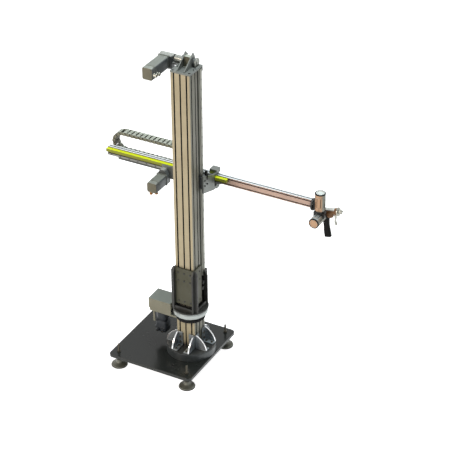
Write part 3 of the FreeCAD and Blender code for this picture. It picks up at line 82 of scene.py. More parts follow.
class Wires:
    """Adds the nodes of one material or world and links them."""

    def __init__(self, tree: bpy.types.NodeTree) -> None:
        """Keeps the node tree."""
        self.tree = tree

    def feed(self, node: bpy.types.Node, inputs: dict[str | int, object]) -> None:
        """Sets or links inputs of a node.

        Args:
            node: the node.
            inputs: values or sockets, by name or number of the input.
        """
        for key, value in inputs.items():
            if isinstance(value, Socket):
                self.tree.links.new(value, node.inputs[key])
            else:
                node.inputs[key].default_value = value

    def add(self, kind: str, inputs: dict[str | int, object] | None = None,
            **options: object) -> bpy.types.Node:
        """Adds a node.

        Args:
            kind: type of the node, without its prefix.
            inputs: values or sockets, by name or number of the input.
            options: settings of the node itself.

        Returns:
            The new node.
        """
        node = self.tree.nodes.new(f"ShaderNode{kind}")
        for key, value in options.items():
            setattr(node, key, value)
        self.feed(node, inputs or {})
        return node

    def noise(self, vector: Socket, scale: float, detail: float) -> Socket:
        """Adds a noise texture and returns its value socket."""
        return self.add("TexNoise", {"Vector": vector, "Scale": scale, "Detail": detail}).outputs["Fac"]

    def mix(self, share: Socket, a: Socket | tuple[float, ...], b: Colour) -> Socket:
        """Adds a colour mix from a to b and returns the colour."""
        return self.add("Mix", {0: share, 6: a, 7: (*b, 1.0)}, data_type="RGBA").outputs[2]

    def ramp(self, value: Socket, source: tuple[float, float], target: tuple[float, float]) -> Socket:
        """Maps one range of a value to another and returns the result socket."""
        limits = {"From Min": source[0], "From Max": source[1], "To Min": target[0], "To Max": target[1]}
        return self.add("MapRange", {"Value": value, **limits}).outputs["Result"]

    def seen(self) -> Socket:
        """Adds a switch for what the camera sees, straight or in a reflection.

        Returns:
            A socket that is 1 for camera, glossy and transmission rays.
        """
        ray = self.add("LightPath").outputs
        total = ray["Is Camera Ray"]
        for kind in ("Is Glossy Ray", "Is Transmission Ray"):
            total = self.add("Math", {0: total, 1: ray[kind]}, operation="ADD", use_clamp=True).outputs[0]
        return total


def new_material(title: str) -> tuple[bpy.types.Material, Wires, bpy.types.Node]:
    """Makes a node material.

    Args:
        title: name of the material.

    Returns:
        The material, its wires and its main shader.
    """
    made = bpy.data.materials.new(title)
    made.use_nodes = True
    return made, Wires(made.node_tree), made.node_tree.nodes["Principled BSDF"]


def add_object(name: str, data: bpy.types.ID) -> bpy.types.Object:
    """Makes an object and links it into the scene.

    Args:
        name: name of the object.
        data: its mesh, camera or lamp.

    Returns:
        The new object.
    """
    made = bpy.data.objects.new(name, data)
    bpy.context.scene.collection.objects.link(made)
    return made


@dataclass(frozen=True)
class Finish:
    """One procedural surface: colour, gloss, wear and fine relief, with painted light and shade by facing and
    painted shade in hollows.
    """

    name: str
    colour: Colour
    metallic: float = 0.0
    roughness: float = 0.45
    grain: Grain = Grain.PEEL
    relief: float = 0.08
    scale: float = 220.0
    tint: Colour | None = None
    wear: float = 0.25
    coat: float = 0.0
    # Reach of the painted shade in slots and recesses, from ambient occlusion; none at zero.
    painted_shade_reach: float = 0.0
    gloss: float = 0.5
    # Colour of faces that look up: a painted top light, on the disc enamel a painted top shade.
    upper: Colour | None = None
    # Colour of faces that look along X: a painted side shade.
    painted_side_shade: Colour | None = None

    def stretch(self) -> Point:
        """Returns the scale of the relief pattern along each axis."""
        fine, long = self.scale, self.scale * 0.02
        table = {
            Grain.ALONG_X: (long, fine, fine),
            Grain.ALONG_Z: (fine, fine, long),
            Grain.TURNED: (fine * 0.2, fine * 0.2, fine),
        }
        return table.get(self.grain, (fine, fine, fine))

    def material(self) -> bpy.types.Material:
        """Builds the node material, or returns the one already built.

        Returns:
            The material named after this finish.
        """
        title = f"finish_{self.name}"
        found = bpy.data.materials.get(title)
        if found:
            return found
        made, wires, shader = new_material(title)
        place = wires.add("TexCoord").outputs
        mapping = wires.add("Mapping", {"Vector": place["Object"], "Scale": self.stretch()})
        fine = wires.noise(mapping.outputs["Vector"], 1.0, 4.0)
        broad = wires.noise(place["Object"], 9.0, 6.0)
        spots = wires.noise(place["Object"], 55.0, 8.0)
        tint = self.tint or tuple(c * 0.78 for c in self.colour)
        worn = tuple(min(1.0, c * 1.25 + 0.03) for c in self.colour)
        surface = wires.mix(wires.ramp(broad, (0.35, 0.75), (0.0, 0.55)), (*self.colour, 1.0), tint)
        surface = wires.mix(wires.ramp(spots, (0.6, 0.75), (0.0, self.wear)), surface, worn)
        # Painted light and shade by where the faces look.
        surface = self._paint_light_by_facing(wires, place["Normal"], surface)
        # Painted shade in slots and recesses.
        if self.painted_shade_reach:
            surface = self._paint_hollow_shade(wires, surface)
        edge = wires.add("Bevel", {"Radius": EDGE_RADIUS}, samples=4)
        bump = wires.add("Bump", {"Strength": self.relief, "Distance": RELIEF_DEPTH, "Height": fine,
                                  "Normal": edge.outputs["Normal"]})
        gloss_range = (self.roughness * 0.85, min(1.0, self.roughness * 1.25))
        wires.feed(shader, {
            "Base Color": surface, "Metallic": self.metallic,
            "Roughness": wires.ramp(broad, (0.3, 0.7), gloss_range),
            "Specular IOR Level": self.gloss, "Coat Weight": self.coat, "Coat Roughness": 0.12,
            "Normal": bump.outputs["Normal"],
        })
        return made

    def _paint_light_by_facing(self, wires: Wires, normal: Socket, surface: Socket) -> Socket:
        """Paints light and shade by where the part itself faces: the upper colour is a painted top light on
        faces that look up (a painted top shade on the disc enamel), the side colour a painted side shade on
        faces that look along X.

        Args:
            wires: wires of the material.
            normal: normal in the part's own frame.
            surface: colour before the shift.

        Returns:
            The shifted colour.
        """
        split = wires.add("SeparateXYZ", {0: normal}).outputs
        if self.upper:
            surface = wires.mix(wires.ramp(split["Z"], (0.6, 0.85), (0.0, 0.92)), surface, self.upper)
        if self.painted_side_shade:
            size = wires.add("Math", {0: split["X"]}, operation="ABSOLUTE").outputs[0]
            surface = wires.mix(wires.ramp(size, (0.6, 0.85), (0.0, 0.92)), surface, self.painted_side_shade)
        return surface

    def _paint_hollow_shade(self, wires: Wires, surface: Socket) -> Socket:
        """Paints shade into slots, corners and recesses, darkest where ambient occlusion finds near surfaces.

        Args:
            wires: wires of the material.
            surface: colour before the painted shade.

        Returns:
            The colour with painted shade in its slots and recesses.
        """
        hollow_occlusion = wires.add("AmbientOcclusion", {"Distance": self.painted_shade_reach}, samples=6)
        return wires.mix(wires.ramp(hollow_occlusion.outputs["AO"], (0.45, 0.92), (1.0, 0.0)), surface, PAINTED_SLOT_SHADE)


# Finishes with an upper colour carry a painted top light (the disc enamel a painted top shade), those with a
# side colour a painted side shade, and those with a shade reach painted shade in their slots and recesses.
DARK_ENAMEL = Finish("dark_enamel", (0.02, 0.023, 0.021), roughness=0.24, coat=0.08, scale=160, wear=0.05,
                     gloss=0.3)
DISC_ENAMEL = Finish("disc_enamel", (0.05, 0.06, 0.063), roughness=0.38, coat=0.15,
                     upper=(0.035, 0.036, 0.033))
ZINC = Finish("zinc", (0.12, 0.11, 0.085), 0.5, 0.42, Grain.CAST, 0.1)
FOOT_STEEL = Finish("foot_steel", (0.2, 0.205, 0.17), 0.3, 0.4, Grain.TURNED, 0.1)
# Column: its grey side colour is a painted side shade, and the shade reach paints shade into its slots and
# its foot inside the turret.
COLUMN_ALLOY = Finish("column_alloy", (0.6, 0.52, 0.34), 0.12, 0.42, Grain.ALONG_Z, 0.12, 400, painted_shade_reach=0.045,
                      painted_side_shade=(0.2, 0.2, 0.155))
GUIDE_ALLOY = Finish("guide_alloy", (0.19, 0.2, 0.165), 0.25, 0.42, Grain.ALONG_Z, 0.12, 400, painted_shade_reach=0.014)
CAST_ALLOY = Finish("cast_alloy", (0.28, 0.31, 0.33), 0.45, 0.34, Grain.CAST, 0.2, 420,
                    upper=(0.5, 0.55, 0.57))
RING_STEEL = Finish("ring_steel", (0.4, 0.43, 0.42), 0.7, 0.32, Grain.TURNED, 0.06)
BELT_BLACK = Finish("belt_black", (0.006, 0.006, 0.007), roughness=0.7, relief=0.2, gloss=0.2)
PULLEY_STEEL = Finish("pulley_steel", (0.3, 0.31, 0.28), 0.8, 0.35, Grain.TURNED, 0.08)
COVER_GREY = Finish("cover_grey", (0.36, 0.355, 0.27), roughness=0.5, relief=0.12, scale=500,
                    upper=(0.36, 0.42, 0.39))
GEAR_GREY = Finish("gear_grey", (0.12, 0.13, 0.13), 0.3, 0.42, Grain.CAST, 0.15, 300,
                   upper=(0.36, 0.37, 0.34))
MOTOR_GREY = Finish("motor_grey", (0.2, 0.215, 0.19), 0.25, 0.4, Grain.CAST, 0.1, 300,
                    painted_side_shade=(0.09, 0.1, 0.105))
NICKEL = Finish("nickel", (0.4, 0.4, 0.35), 0.7, 0.28, Grain.TURNED, 0.05)
POLISHED = Finish("polished", (0.9, 0.91, 0.92), 0.9, 0.14, Grain.CAST, 0.03, 300)
SWIVEL_GREY = Finish("swivel_grey", (0.042, 0.05, 0.06), 0.25, 0.38, Grain.CAST, 0.1, 300)
TURRET_PAINT = Finish("turret_paint", (0.078, 0.077, 0.043), roughness=0.5, relief=0.15, scale=520)
TURRET_DARK = Finish("turret_dark", (0.03, 0.031, 0.028), roughness=0.45, relief=0.15, scale=520)
RAIL_STEEL = Finish("rail_steel", (0.33, 0.335, 0.29), 0.7, 0.35, Grain.ALONG_Z, 0.08, 500)
ARM_RAIL_STEEL = Finish("arm_rail_steel", (0.24, 0.24, 0.22), 0.6, 0.36, Grain.ALONG_X, 0.08, 500)
BLOCK_STEEL = Finish("block_steel", (0.16, 0.17, 0.17), 0.6, 0.4, Grain.CAST, 0.1)
PLATE_ALLOY = Finish("plate_alloy", (0.2, 0.215, 0.2), 0.5, 0.4, Grain.CAST, 0.1, 350)
PINION_STEEL = Finish("pinion_steel", (0.3, 0.3, 0.31), 1.0, 0.3, Grain.TURNED, 0.05)
# Rack: the olive colour is a shaded copy of its yellow and the bright upper colour a lit copy, a painted
# front shade and a painted top light.
RACK_YELLOW = Finish("rack_yellow", (0.34, 0.36, 0.006), roughness=0.4, relief=0.1, scale=300,
                     tint=(0.28, 0.3, 0.006), upper=(0.72, 0.82, 0.004))
# Arm: the pale blue-white upper colour is a painted top light and painted sky reflection; the shade reach
# paints its grooves dark.
ARM_ALLOY = Finish("arm_alloy", (0.74, 0.52, 0.42), 0.12, 0.36, Grain.ALONG_X, 0.1, 400, painted_shade_reach=0.03,
                   upper=(0.84, 0.9, 0.92))
BLACK_OXIDE = Finish("black_oxide", (0.02, 0.022, 0.022), 0.2, 0.42, Grain.TURNED, 0.08)
CHAIN_GREY = Finish("chain_grey", (0.29, 0.29, 0.22), roughness=0.5, relief=0.1, scale=600, painted_shade_reach=0.01,
                    upper=(0.42, 0.45, 0.38))
TRAY_STEEL = Finish("tray_steel", (0.06, 0.063, 0.06), 0.3, 0.45, Grain.ALONG_X, 0.1, 400)
WRIST_ALLOY = Finish("wrist_alloy", (0.6, 0.37, 0.22), 0.35, 0.28, Grain.TURNED, 0.08, painted_shade_reach=0.006,
                     upper=(0.74, 0.84, 0.82), painted_side_shade=(0.27, 0.29, 0.25))
LEVEL_ALLOY = Finish("level_alloy", (0.6, 0.37, 0.22), 0.4, 0.28, Grain.TURNED, 0.08, painted_shade_reach=0.006,
                     upper=(0.4, 0.48, 0.5), painted_side_shade=(0.27, 0.29, 0.25))
GUN_BROWN = Finish("gun_brown", (0.2, 0.088, 0.025), 0.25, 0.35, Grain.CAST, 0.08)
GUN_WHITE = Finish("gun_white", (0.62, 0.62, 0.58), roughness=0.35, relief=0.05)
RUBBER = Finish("rubber", (0.02, 0.02, 0.021), roughness=0.75, relief=0.3, scale=700)
MOTOR_CAP = Finish("motor_cap", (0.2, 0.19, 0.13), roughness=0.45, relief=0.2, scale=500,
                   upper=(0.24, 0.26, 0.23), painted_side_shade=(0.1, 0.11, 0.115))
BRASS = Finish("brass", (0.7, 0.5, 0.2), 1.0, 0.3, Grain.TURNED, 0.04)
BRONZE = Finish("bronze", (0.36, 0.17, 0.05), 0.7, 0.3, Grain.TURNED, 0.05)
GUARD_OLIVE = Finish("guard_olive", (0.17, 0.165, 0.11), roughness=0.5, relief=0.12, scale=500,
                     upper=(0.4, 0.42, 0.36))
CHAIN_PIN = Finish("chain_pin", (0.33, 0.33, 0.31), roughness=0.5, relief=0.1, scale=600)
CAP_BLACK = Finish("cap_black", (0.05, 0.05, 0.052), roughness=0.55, relief=0.1, scale=600)
GRIP_BLACK = Finish("grip_black", (0.003, 0.003, 0.003), roughness=0.5, relief=0.3, scale=900, wear=0.03,
                    gloss=0.12)

NODE_FINISHES = {
    DARK_ENAMEL: ("base_plate",),
    DISC_ENAMEL: ("foot_disc",),
    FOOT_STEEL: ("levelling_foot_1", "levelling_foot_2", "levelling_foot_3", "levelling_foot_4"),
    ZINC: ("foot_lock_nuts", "bracket_screws"),
    COLUMN_ALLOY: ("lower_column", "main_column"),
    GUIDE_ALLOY: ("column_guide",),
    CAST_ALLOY: ("foot_brackets",),
    RING_STEEL: ("slew_ring",),
    BELT_BLACK: ("swivel_belt", "lift_belt", "slew_base_flange"),
    PULLEY_STEEL: ("swivel_drive_pulley", "lift_drive_pulley", "lift_idler_pulley"),
    COVER_GREY: ("swivel_cover",),
    GEAR_GREY: ("lift_gearbox", "arm_gearbox"),
    SWIVEL_GREY: ("swivel_gearbox", "swivel_motor", "swivel_motor_sockets"),
    MOTOR_GREY: ("lift_motor", "arm_motor"),
    NICKEL: ("lift_motor_sockets", "arm_motor_sockets", "air_cap", "gun_trigger"),
    TURRET_PAINT: ("turret_plates",),
    TURRET_DARK: ("turret_frame", "turret_screws"),
    RAIL_STEEL: ("lift_rails",),
    ARM_RAIL_STEEL: ("arm_rail",),
    BLOCK_STEEL: ("runner_blocks", "lift_bearings"),
    PLATE_ALLOY: ("top_plate", "bearing_stand", "carriage_side_plates", "carriage_cross_plate",
                  "arm_guide_blocks"),
    TRAY_STEEL: ("chain_bracket", "chain_tray"),
    PINION_STEEL: ("arm_pinion",),
    RACK_YELLOW: ("arm_rack",),
    ARM_ALLOY: ("arm_profile",),
    BLACK_OXIDE: ("arm_flange", "wrist_saddle", "gun_clamp", "limit_switch"),
    CHAIN_GREY: ("chain_upper_run", "chain_lower_run", "chain_loop"),
    WRIST_ALLOY: ("wrist_yaw_motor", "wrist_pitch_motor"),
    GUN_BROWN: ("gun_body",),
    GUN_WHITE: ("gun_top",),
    GRIP_BLACK: ("gun_handle",),
}


def node_box(node: str) -> tuple[Vector, Vector]:
    """Gives the corners of a CAD node at rest.

    Args:
        node: name of the CAD node.

    Returns:
        Lowest and highest corner in millimetres.
    """
    low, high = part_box(node)
    return Vector(low) / MM, Vector(high) / MM


def node_middle(node: str) -> Point:
    """Gives the middle of a CAD node's box, in millimetres."""
    low, high = node_box(node)
    return (low.x + high.x) / 2, (low.y + high.y) / 2, (low.z + high.z) / 2


def ring(radius: float, count: int, six: bool = False, limit: float = math.inf,
         shift: float = 0.0) -> Outline:
    """Gives evenly spread points of a circle, or of a hexagon.

    Args:
        radius: radius of the circle, or distance of the hexagon's flats.
        count: number of points.
        six: whether it is a hexagon.
        limit: furthest that a corner may reach.
        shift: turn of the first point, as a share of a step.

    Returns:
        The points, counter-clockwise.
    """
    points = []
    for k in range(count):
        angle = math.tau * (k + shift) / count
        flat = math.cos((angle + math.pi / 6) % (math.pi / 3) - math.pi / 6) if six else 1.0
        reach = min(radius / flat, limit)
        points.append((reach * math.cos(angle), reach * math.sin(angle)))
    return points


def rounded(width: float, height: float, corner: float, steps: int = 5) -> Outline:
    """Draws a rectangle with round corners about the origin.

    Args:
        width: full size along the first axis.
        height: full size along the second axis.
        corner: corner radius.
        steps: points on each corner, less one.

    Returns:
        The outline, counter-clockwise.
    """
    points = []
    for quarter, (sx, sy) in enumerate(((1, 1), (-1, 1), (-1, -1), (1, -1))):
        cx, cy = sx * (width / 2 - corner), sy * (height / 2 - corner)
        for k in range(steps + 1):
            angle = math.pi / 2 * (quarter + k / steps)
            points.append((cx + corner * math.cos(angle), cy + corner * math.sin(angle)))
    return points


def placed(origin: Point, axis: Point, across: Point | None = None) -> Matrix:
    """Makes the placing of a part whose own Z runs along an axis.

    Args:
        origin: where the part's origin lies, in millimetres.
        axis: direction of its Z.
        across: direction of its X; any square one if left out.

    Returns:
        The placing matrix.
    """
    z = Vector(axis).normalized()
    x = Vector(across) if across else (Vector((1, 0, 0)) if abs(z.x) < 0.9 else Vector((0, 1, 0)))
    x = (x - z * x.dot(z)).normalized()
    turn = Matrix((x, z.cross(x), z)).transposed().to_4x4()
    return Matrix.Translation(Vector(origin)) @ turn


def sideways(base: Matrix, y: float) -> Matrix:
    """Turns a placing so that outlines lie in its X-Z plane, with the depth from y towards -Y."""
    return base @ placed((0, y, 0), (0, -1, 0), (1, 0, 0))


class Sculpt:
    """Collects the forms of one piece, in millimetres, and makes its object."""

    def __init__(self, name: str, finish: Finish) -> None:
        """Starts an empty piece.

        Args:
            name: name of the object.
            finish: finish of the forms added first.
        """
        self.name = name
        self.form = bmesh.new()
        self.finishes: list[Finish] = [finish]
        self.index = 0

    def use(self, finish: Finish) -> "Sculpt":
        """Changes the finish of the forms added next and returns this piece."""
        if finish not in self.finishes:
            self.finishes.append(finish)
        self.index = self.finishes.index(finish)
        return self

    def loops(self, sections: list[tuple[Outline, float]], place: Matrix) -> list[list[bmesh.types.BMVert]]:
        """Adds the vertices of flat sections and returns them, loop by loop."""
        return [[self.form.verts.new(place @ Vector((u, v, h))) for u, v in outline]
                for outline, h in sections]

    def join(self, loops: list[list[bmesh.types.BMVert]], closed: bool = False) -> list[bmesh.types.BMFace]:
        """Joins loops of vertices with faces.

        Args:
            loops: vertex loops of equal length, or single points.
            closed: whether the last loop joins the first; otherwise both get a cap.

        Returns:
            The new faces.
        """
        faces = []
        for a, b in zip(loops, loops[1:] + loops[:1] if closed else loops[1:]):
            count = max(len(a), len(b))
            for i in range(count):
                j = (i + 1) % count
                corners = [a[i % len(a)], a[j % len(a)], b[j % len(b)], b[i % len(b)]]
                unique = list(dict.fromkeys(corners))
                if len(unique) > 2:
                    faces.append(self.form.faces.new(unique))
        if not closed:
            faces += [self.form.faces.new(loop) for loop in (loops[0], loops[-1]) if len(loop) > 2]
        for face in faces:
            face.material_index = self.index
            face.smooth = True
        return faces

    def _soften(self, faces: list[bmesh.types.BMFace], size: float) -> None:
        """Rounds the sharp edges of some faces.

        Args:
            faces: faces whose edges are rounded.
            size: width of the rounding.
        """
        bmesh.ops.recalc_face_normals(self.form, faces=faces)
        edges = {edge for face in faces for edge in face.edges}
        sharp = [e for e in edges if len(e.link_faces) == 2 and e.calc_face_angle() > SOFT_ANGLE]
        made = bmesh.ops.bevel(self.form, geom=sharp, offset=size, segments=2, affect="EDGES",
                               clamp_overlap=True)
        for face in made["faces"]:
            face.material_index = self.index
            face.smooth = True

    def loft(self, sections: list[tuple[Outline, float]], place: Matrix, soft: float = 0.0) -> "Sculpt":
        """Adds a body through flat sections.

        Args:
            sections: outlines with their heights; all have the same count of points.
            place: placing of the body.
            soft: rounding of sharp edges, none at zero.

        Returns:
            This piece.
        """
        faces = self.join(self.loops(sections, place))
        if soft:
            self._soften(faces, soft)
        return self

    def prism(self, outline: Outline, depth: float, place: Matrix, soft: float = 0.6) -> "Sculpt":
        """Adds a straight body of one outline.

        Args:
            outline: corners of the section.
            depth: length along the placing's Z.
            place: placing of the body.
            soft: rounding of its edges.

        Returns:
            This piece.
        """
        return self.loft([(outline, 0.0), (outline, depth)], place, soft)

    def block(self, low: Point, high: Point, soft: float = 0.8) -> "Sculpt":
        """Adds a box with rounded edges between two corners and returns this piece."""
        a, b = Vector(low), Vector(high)
        size = b - a
        outline = [(0, 0), (size.x, 0), (size.x, size.y), (0, size.y)]
        return self.prism(outline, size.z, Matrix.Translation(a), min(soft, min(size) * 0.35))

    def turned(self, profile: Outline, place: Matrix, count: int = 48, teeth: int = 0,
               tooth: float = 0.5) -> "Sculpt":
        """Adds a turned body.

        Args:
            profile: radius and height pairs, from the axis or closed on itself.
            place: placing of the body.
            count: facets round it.
            teeth: ribs round the widest part, none at zero.
            tooth: depth of the ribs.

        Returns:
            This piece.
        """
        widest = max(r for r, _ in profile)
        total = teeth * 4 if teeth else count
        loops = []
        for r, h in profile:
            if r < 1e-6:
                loops.append([self.form.verts.new(place @ Vector((0, 0, h)))])
                continue
            loop = []
            for i in range(total):
                low = teeth and r > widest * 0.97 and i % 4 >= 2
                radius = r - tooth if low else r
                angle = math.tau * i / total
                spot = Vector((radius * math.cos(angle), radius * math.sin(angle), h))
                loop.append(self.form.verts.new(place @ spot))
            loops.append(loop)
        closed = profile[0][0] > 1e-6 and profile[0] == profile[-1]
        if closed:
            for vert in loops.pop():
                self.form.verts.remove(vert)
        self.join(loops, closed)
        return self

    def band(self, path: list[tuple[Vector, Vector, Vector]], section: Callable[[int], Outline]) -> "Sculpt":
        """Adds a strip that follows a closed path.

        Args:
            path: place, outward and sideways direction of each step.
            section: outline at a step, as sideways and outward pairs.

        Returns:
            This piece.
        """
        loops = []
        for k, (spot, out, side) in enumerate(path):
            loops.append([self.form.verts.new(spot + side * u + out * v) for u, v in section(k)])
        self.join(loops, True)
        return self

    def hex_screw(self, place: Matrix, radius: float, height: float) -> "Sculpt":
        """Adds a cap screw head with a hexagon socket.

        Args:
            place: placing with Z out of the surface.
            radius: radius of the head.
            height: height of the head.

        Returns:
            This piece.
        """
        key, sides = radius * 0.5, 24
        sections = [(ring(radius, sides), 0.0), (ring(radius, sides), height * 0.82),
                    (ring(radius * 0.9, sides), height), (ring(key, sides, True), height),
                    (ring(key, sides, True), height * 0.35), (ring(key * 0.1, sides), height * 0.3)]
        return self.loft(sections, place)

    def build(self, body: str, slot: str, replaces: tuple[str, ...] = ()) -> bpy.types.Object:
        """Makes the object, hangs it under its body and hides the CAD nodes it stands for.

        Args:
            body: body that carries the piece.
            slot: name of a material slot; not used.
            replaces: CAD nodes that the piece stands for.

        Returns:
            The new object.
        """
        made = self.raw()
        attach(made, body)
        self._declare(made, slot, replaces)
        return made

    def build_blend(self, slot: str,
                    replaces: tuple[str, ...]) -> bpy.types.Object:
        """Makes the object without a body, bakes its placing into the mesh and hides the CAD nodes it stands
        for.

        Args:
            slot: name of a material slot; not used.
            replaces: CAD nodes that the piece stands for.

        Returns:
            The new object.
        """
        made = self.raw()
        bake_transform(made)
        self._declare(made, slot, replaces)
        return made

    def raw(self) -> bpy.types.Object:
        """Makes the object without a body and returns it."""
        bmesh.ops.recalc_face_normals(self.form, faces=self.form.faces)
        bmesh.ops.scale(self.form, vec=(MM, MM, MM), verts=self.form.verts)
        mesh = bpy.data.meshes.new(self.name)
        self.form.to_mesh(mesh)
        self.form.free()
        mesh.set_sharp_from_angle(angle=math.radians(SHARP_ANGLE))
        for finish in self.finishes:
            mesh.materials.append(finish.material())
        made = add_object(self.name, mesh)
        LOG.info("piece %s: %d faces", self.name, len(mesh.polygons))
        return made

    @staticmethod
    def _declare(made: bpy.types.Object, slot: str, replaces: tuple[str, ...]) -> None:
        """Hides the CAD nodes that a piece stands for."""
        if replaces:
            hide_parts(*replaces)


@dataclass
class ThreadedFeet:
    """Four levelling feet with rubber soles, threaded stems and lock nuts."""

    pitch: float = 2.2
    stem_radius: float = 6.0
    nut_half_flats: float = 9.5
    neck_radius: float = 15.0

    def foot(self, index: int) -> None:
        """Builds one foot.

        Args:
            index: number of the foot, from 1.
        """
        node = f"levelling_foot_{index}"
        low, high = node_box(node)
        radius = (high.x - low.x) / 2
        place = Matrix.Translation(((low.x + high.x) / 2, (low.y + high.y) / 2, low.z))
        top = high.z - low.z
        piece = Sculpt(f"foot_{index}_turned", RUBBER)
        piece.turned([(0, 0), (radius - 3, 0), (radius - 0.6, 1.2), (radius, 2.4), (radius, 5),
                      (radius - 1, 6), (0, 6)],
                     place, 64)
        piece.use(FOOT_STEEL)
        piece.turned([(0, 6), (radius - 2, 6), (radius - 1.6, 8), (radius - 3, 11), (radius - 12, 14.5),
                      (24, 19), (19, 23), (16.5, 26.5), (15.3, 30), (self.neck_radius, 34),
                      (self.neck_radius, 37), (14, 38.5), (self.stem_radius, 40), (0, 40)], place, 64)
        core = self.stem_radius - 0.9
        profile = [(0.0, 38.0), (core, 38.0)]
        height = 41.0
        while height < top - 4:
            profile += [(core, height), (self.stem_radius, height + self.pitch * 0.35),
                        (self.stem_radius, height + self.pitch * 0.55), (core, height + self.pitch * 0.9)]
            height += self.pitch
        profile += [(core, top - 1.6), (core - 1.6, top), (2.8, top), (2.8, top - 4), (0, top - 4)]
        piece.use(ZINC).turned(profile, place, 32)
        piece.build(f"foot_{index}", "foot_steel", (node,))

    def lock_nuts(self) -> None:
        """Builds the four lock nuts with their chamfers."""
        low, high = node_box("foot_lock_nuts")
        piece = Sculpt("foot_nuts", ZINC)
        across = self.nut_half_flats / math.cos(math.pi / 6)
        height = high.z - low.z
        hole = ring(self.stem_radius + 0.15, 36)
        sections = [(ring(self.nut_half_flats, 36, True, across - trim), share * height)
                    for share, trim in ((0.0, 1.2), (0.11, 0.0), (0.89, 0.0), (1.0, 1.2))]
        sections += [(hole, height - 0.8), (hole, 0.8)]
        for index in range(1, 5):
            x, y, _ = node_middle(f"levelling_foot_{index}")
            place = Matrix.Translation((x, y, low.z))
            piece.join(piece.loops(sections, place), True)
        piece.build("base", "screw_steel", ("foot_lock_nuts",))

    def build(self) -> None:
        """Builds all four feet and their nuts."""
        for index in range(1, 5):
            self.foot(index)
        self.lock_nuts()


@dataclass
class FootBrackets:
    """Eight cast angle brackets round the lower column, with polished curved rims."""

    leg: float = 7.0
    width: float = 38.0
    web: float = 6.0
    rim: float = 4.0
    rim_width: float = 8.0
    bulge: float = 14.0
    steps: int = 18

    def curve(self, reach: float, rise: float, inset: float) -> Outline:
        """Draws the outer edge of the web.

        Args:
            reach: length of the ground leg.
            rise: height of the upright leg.
            inset: distance inside the outer edge.

        Returns:
            Points from the top of the upright to the end of the ground leg.
        """
        start, end = Vector((self.leg, rise)), Vector((reach, self.leg))
        chord = end - start
        normal = Vector((rise - self.leg, reach - self.leg)).normalized()
        radius = (chord.length ** 2 / 4 + self.bulge ** 2) / (2 * self.bulge)
        centre = (start + end) / 2 + normal * (self.bulge - radius)
        half = math.asin(chord.length / 2 / radius)
        middle = math.atan2(normal.y, normal.x)
        points = []
        for k in range(self.steps + 1):
            angle = middle + half - 2 * half * k / self.steps
            spot = centre + Vector((math.cos(angle), math.sin(angle))) * radius - normal * inset
            points.append((spot.x, spot.y))
        return points

    def one(self, piece: Sculpt, place: Matrix, reach: float, rise: float) -> None:
        """Adds one bracket.

        Args:
            piece: piece that gets it.
            place: placing with X outwards, Y along the face and Z up.
            reach: length of the ground leg.
            rise: height of the upright leg.
        """
        t = self.leg
        upright = sideways(place, self.width)
        piece.use(CAST_ALLOY)
        piece.prism([(0, 0), (t, 0), (t, rise), (0, rise)], self.width, upright, 1.2)
        piece.prism([(t - 1, 0.02), (reach, 0.02), (reach, t), (t - 1, t)], self.width, upright, 1.2)
        web = sideways(place, self.web)
        inner = self.curve(reach, rise, self.rim - 0.5)
        outline = [(t - 0.5, t - 0.5), (reach - 3, t - 0.5)] + inner[::-1][1:-1] + [(t - 0.5, rise - 3)]
        piece.prism(outline, self.web - 1, web, 0.5)
        piece.use(POLISHED)
        rim = sideways(place, self.rim_width)
        outer, lower = self.curve(reach, rise, 0.0), self.curve(reach, rise, self.rim)
        piece.prism(outer + lower[::-1], self.rim_width, rim, 0.7)
        piece.use(CAP_BLACK)
        plug = [(0, -0.4), (2.7, -0.4), (2.7, 0.12), (2.2, 0.16), (1.8, -0.2), (0, -0.2)]
        for u, v in ((0.3, 0.24), (0.3, 0.44), (0.3, 0.64), (0.5, 0.24), (0.5, 0.42), (0.7, 0.24)):
            for y, way in ((1.0, -1), (self.web, 1)):
                spot = place @ Vector((reach * u, y, rise * v))
                out = place.to_3x3() @ Vector((0, way, 0))
                piece.turned(plug, placed(spot, out), 16)

    def build(self) -> None:
        """Builds all eight brackets."""
        low, high = node_box("foot_brackets")
        half = node_box("lower_column")[1].x
        piece = Sculpt("brackets_cast", CAST_ALLOY)
        start = Matrix.Translation((half, 1.0 - half, low.z))
        for turn in range(4):
            spin = Matrix.Rotation(math.pi / 2 * turn, 4, "Z")
            for side in (1, -1):
                mirror = Matrix.Diagonal((1, side, 1, 1))
                self.one(piece, spin @ mirror @ start, high.x - half, high.z - low.z)
        piece.build("base", "cast_bracket", ("foot_brackets",))


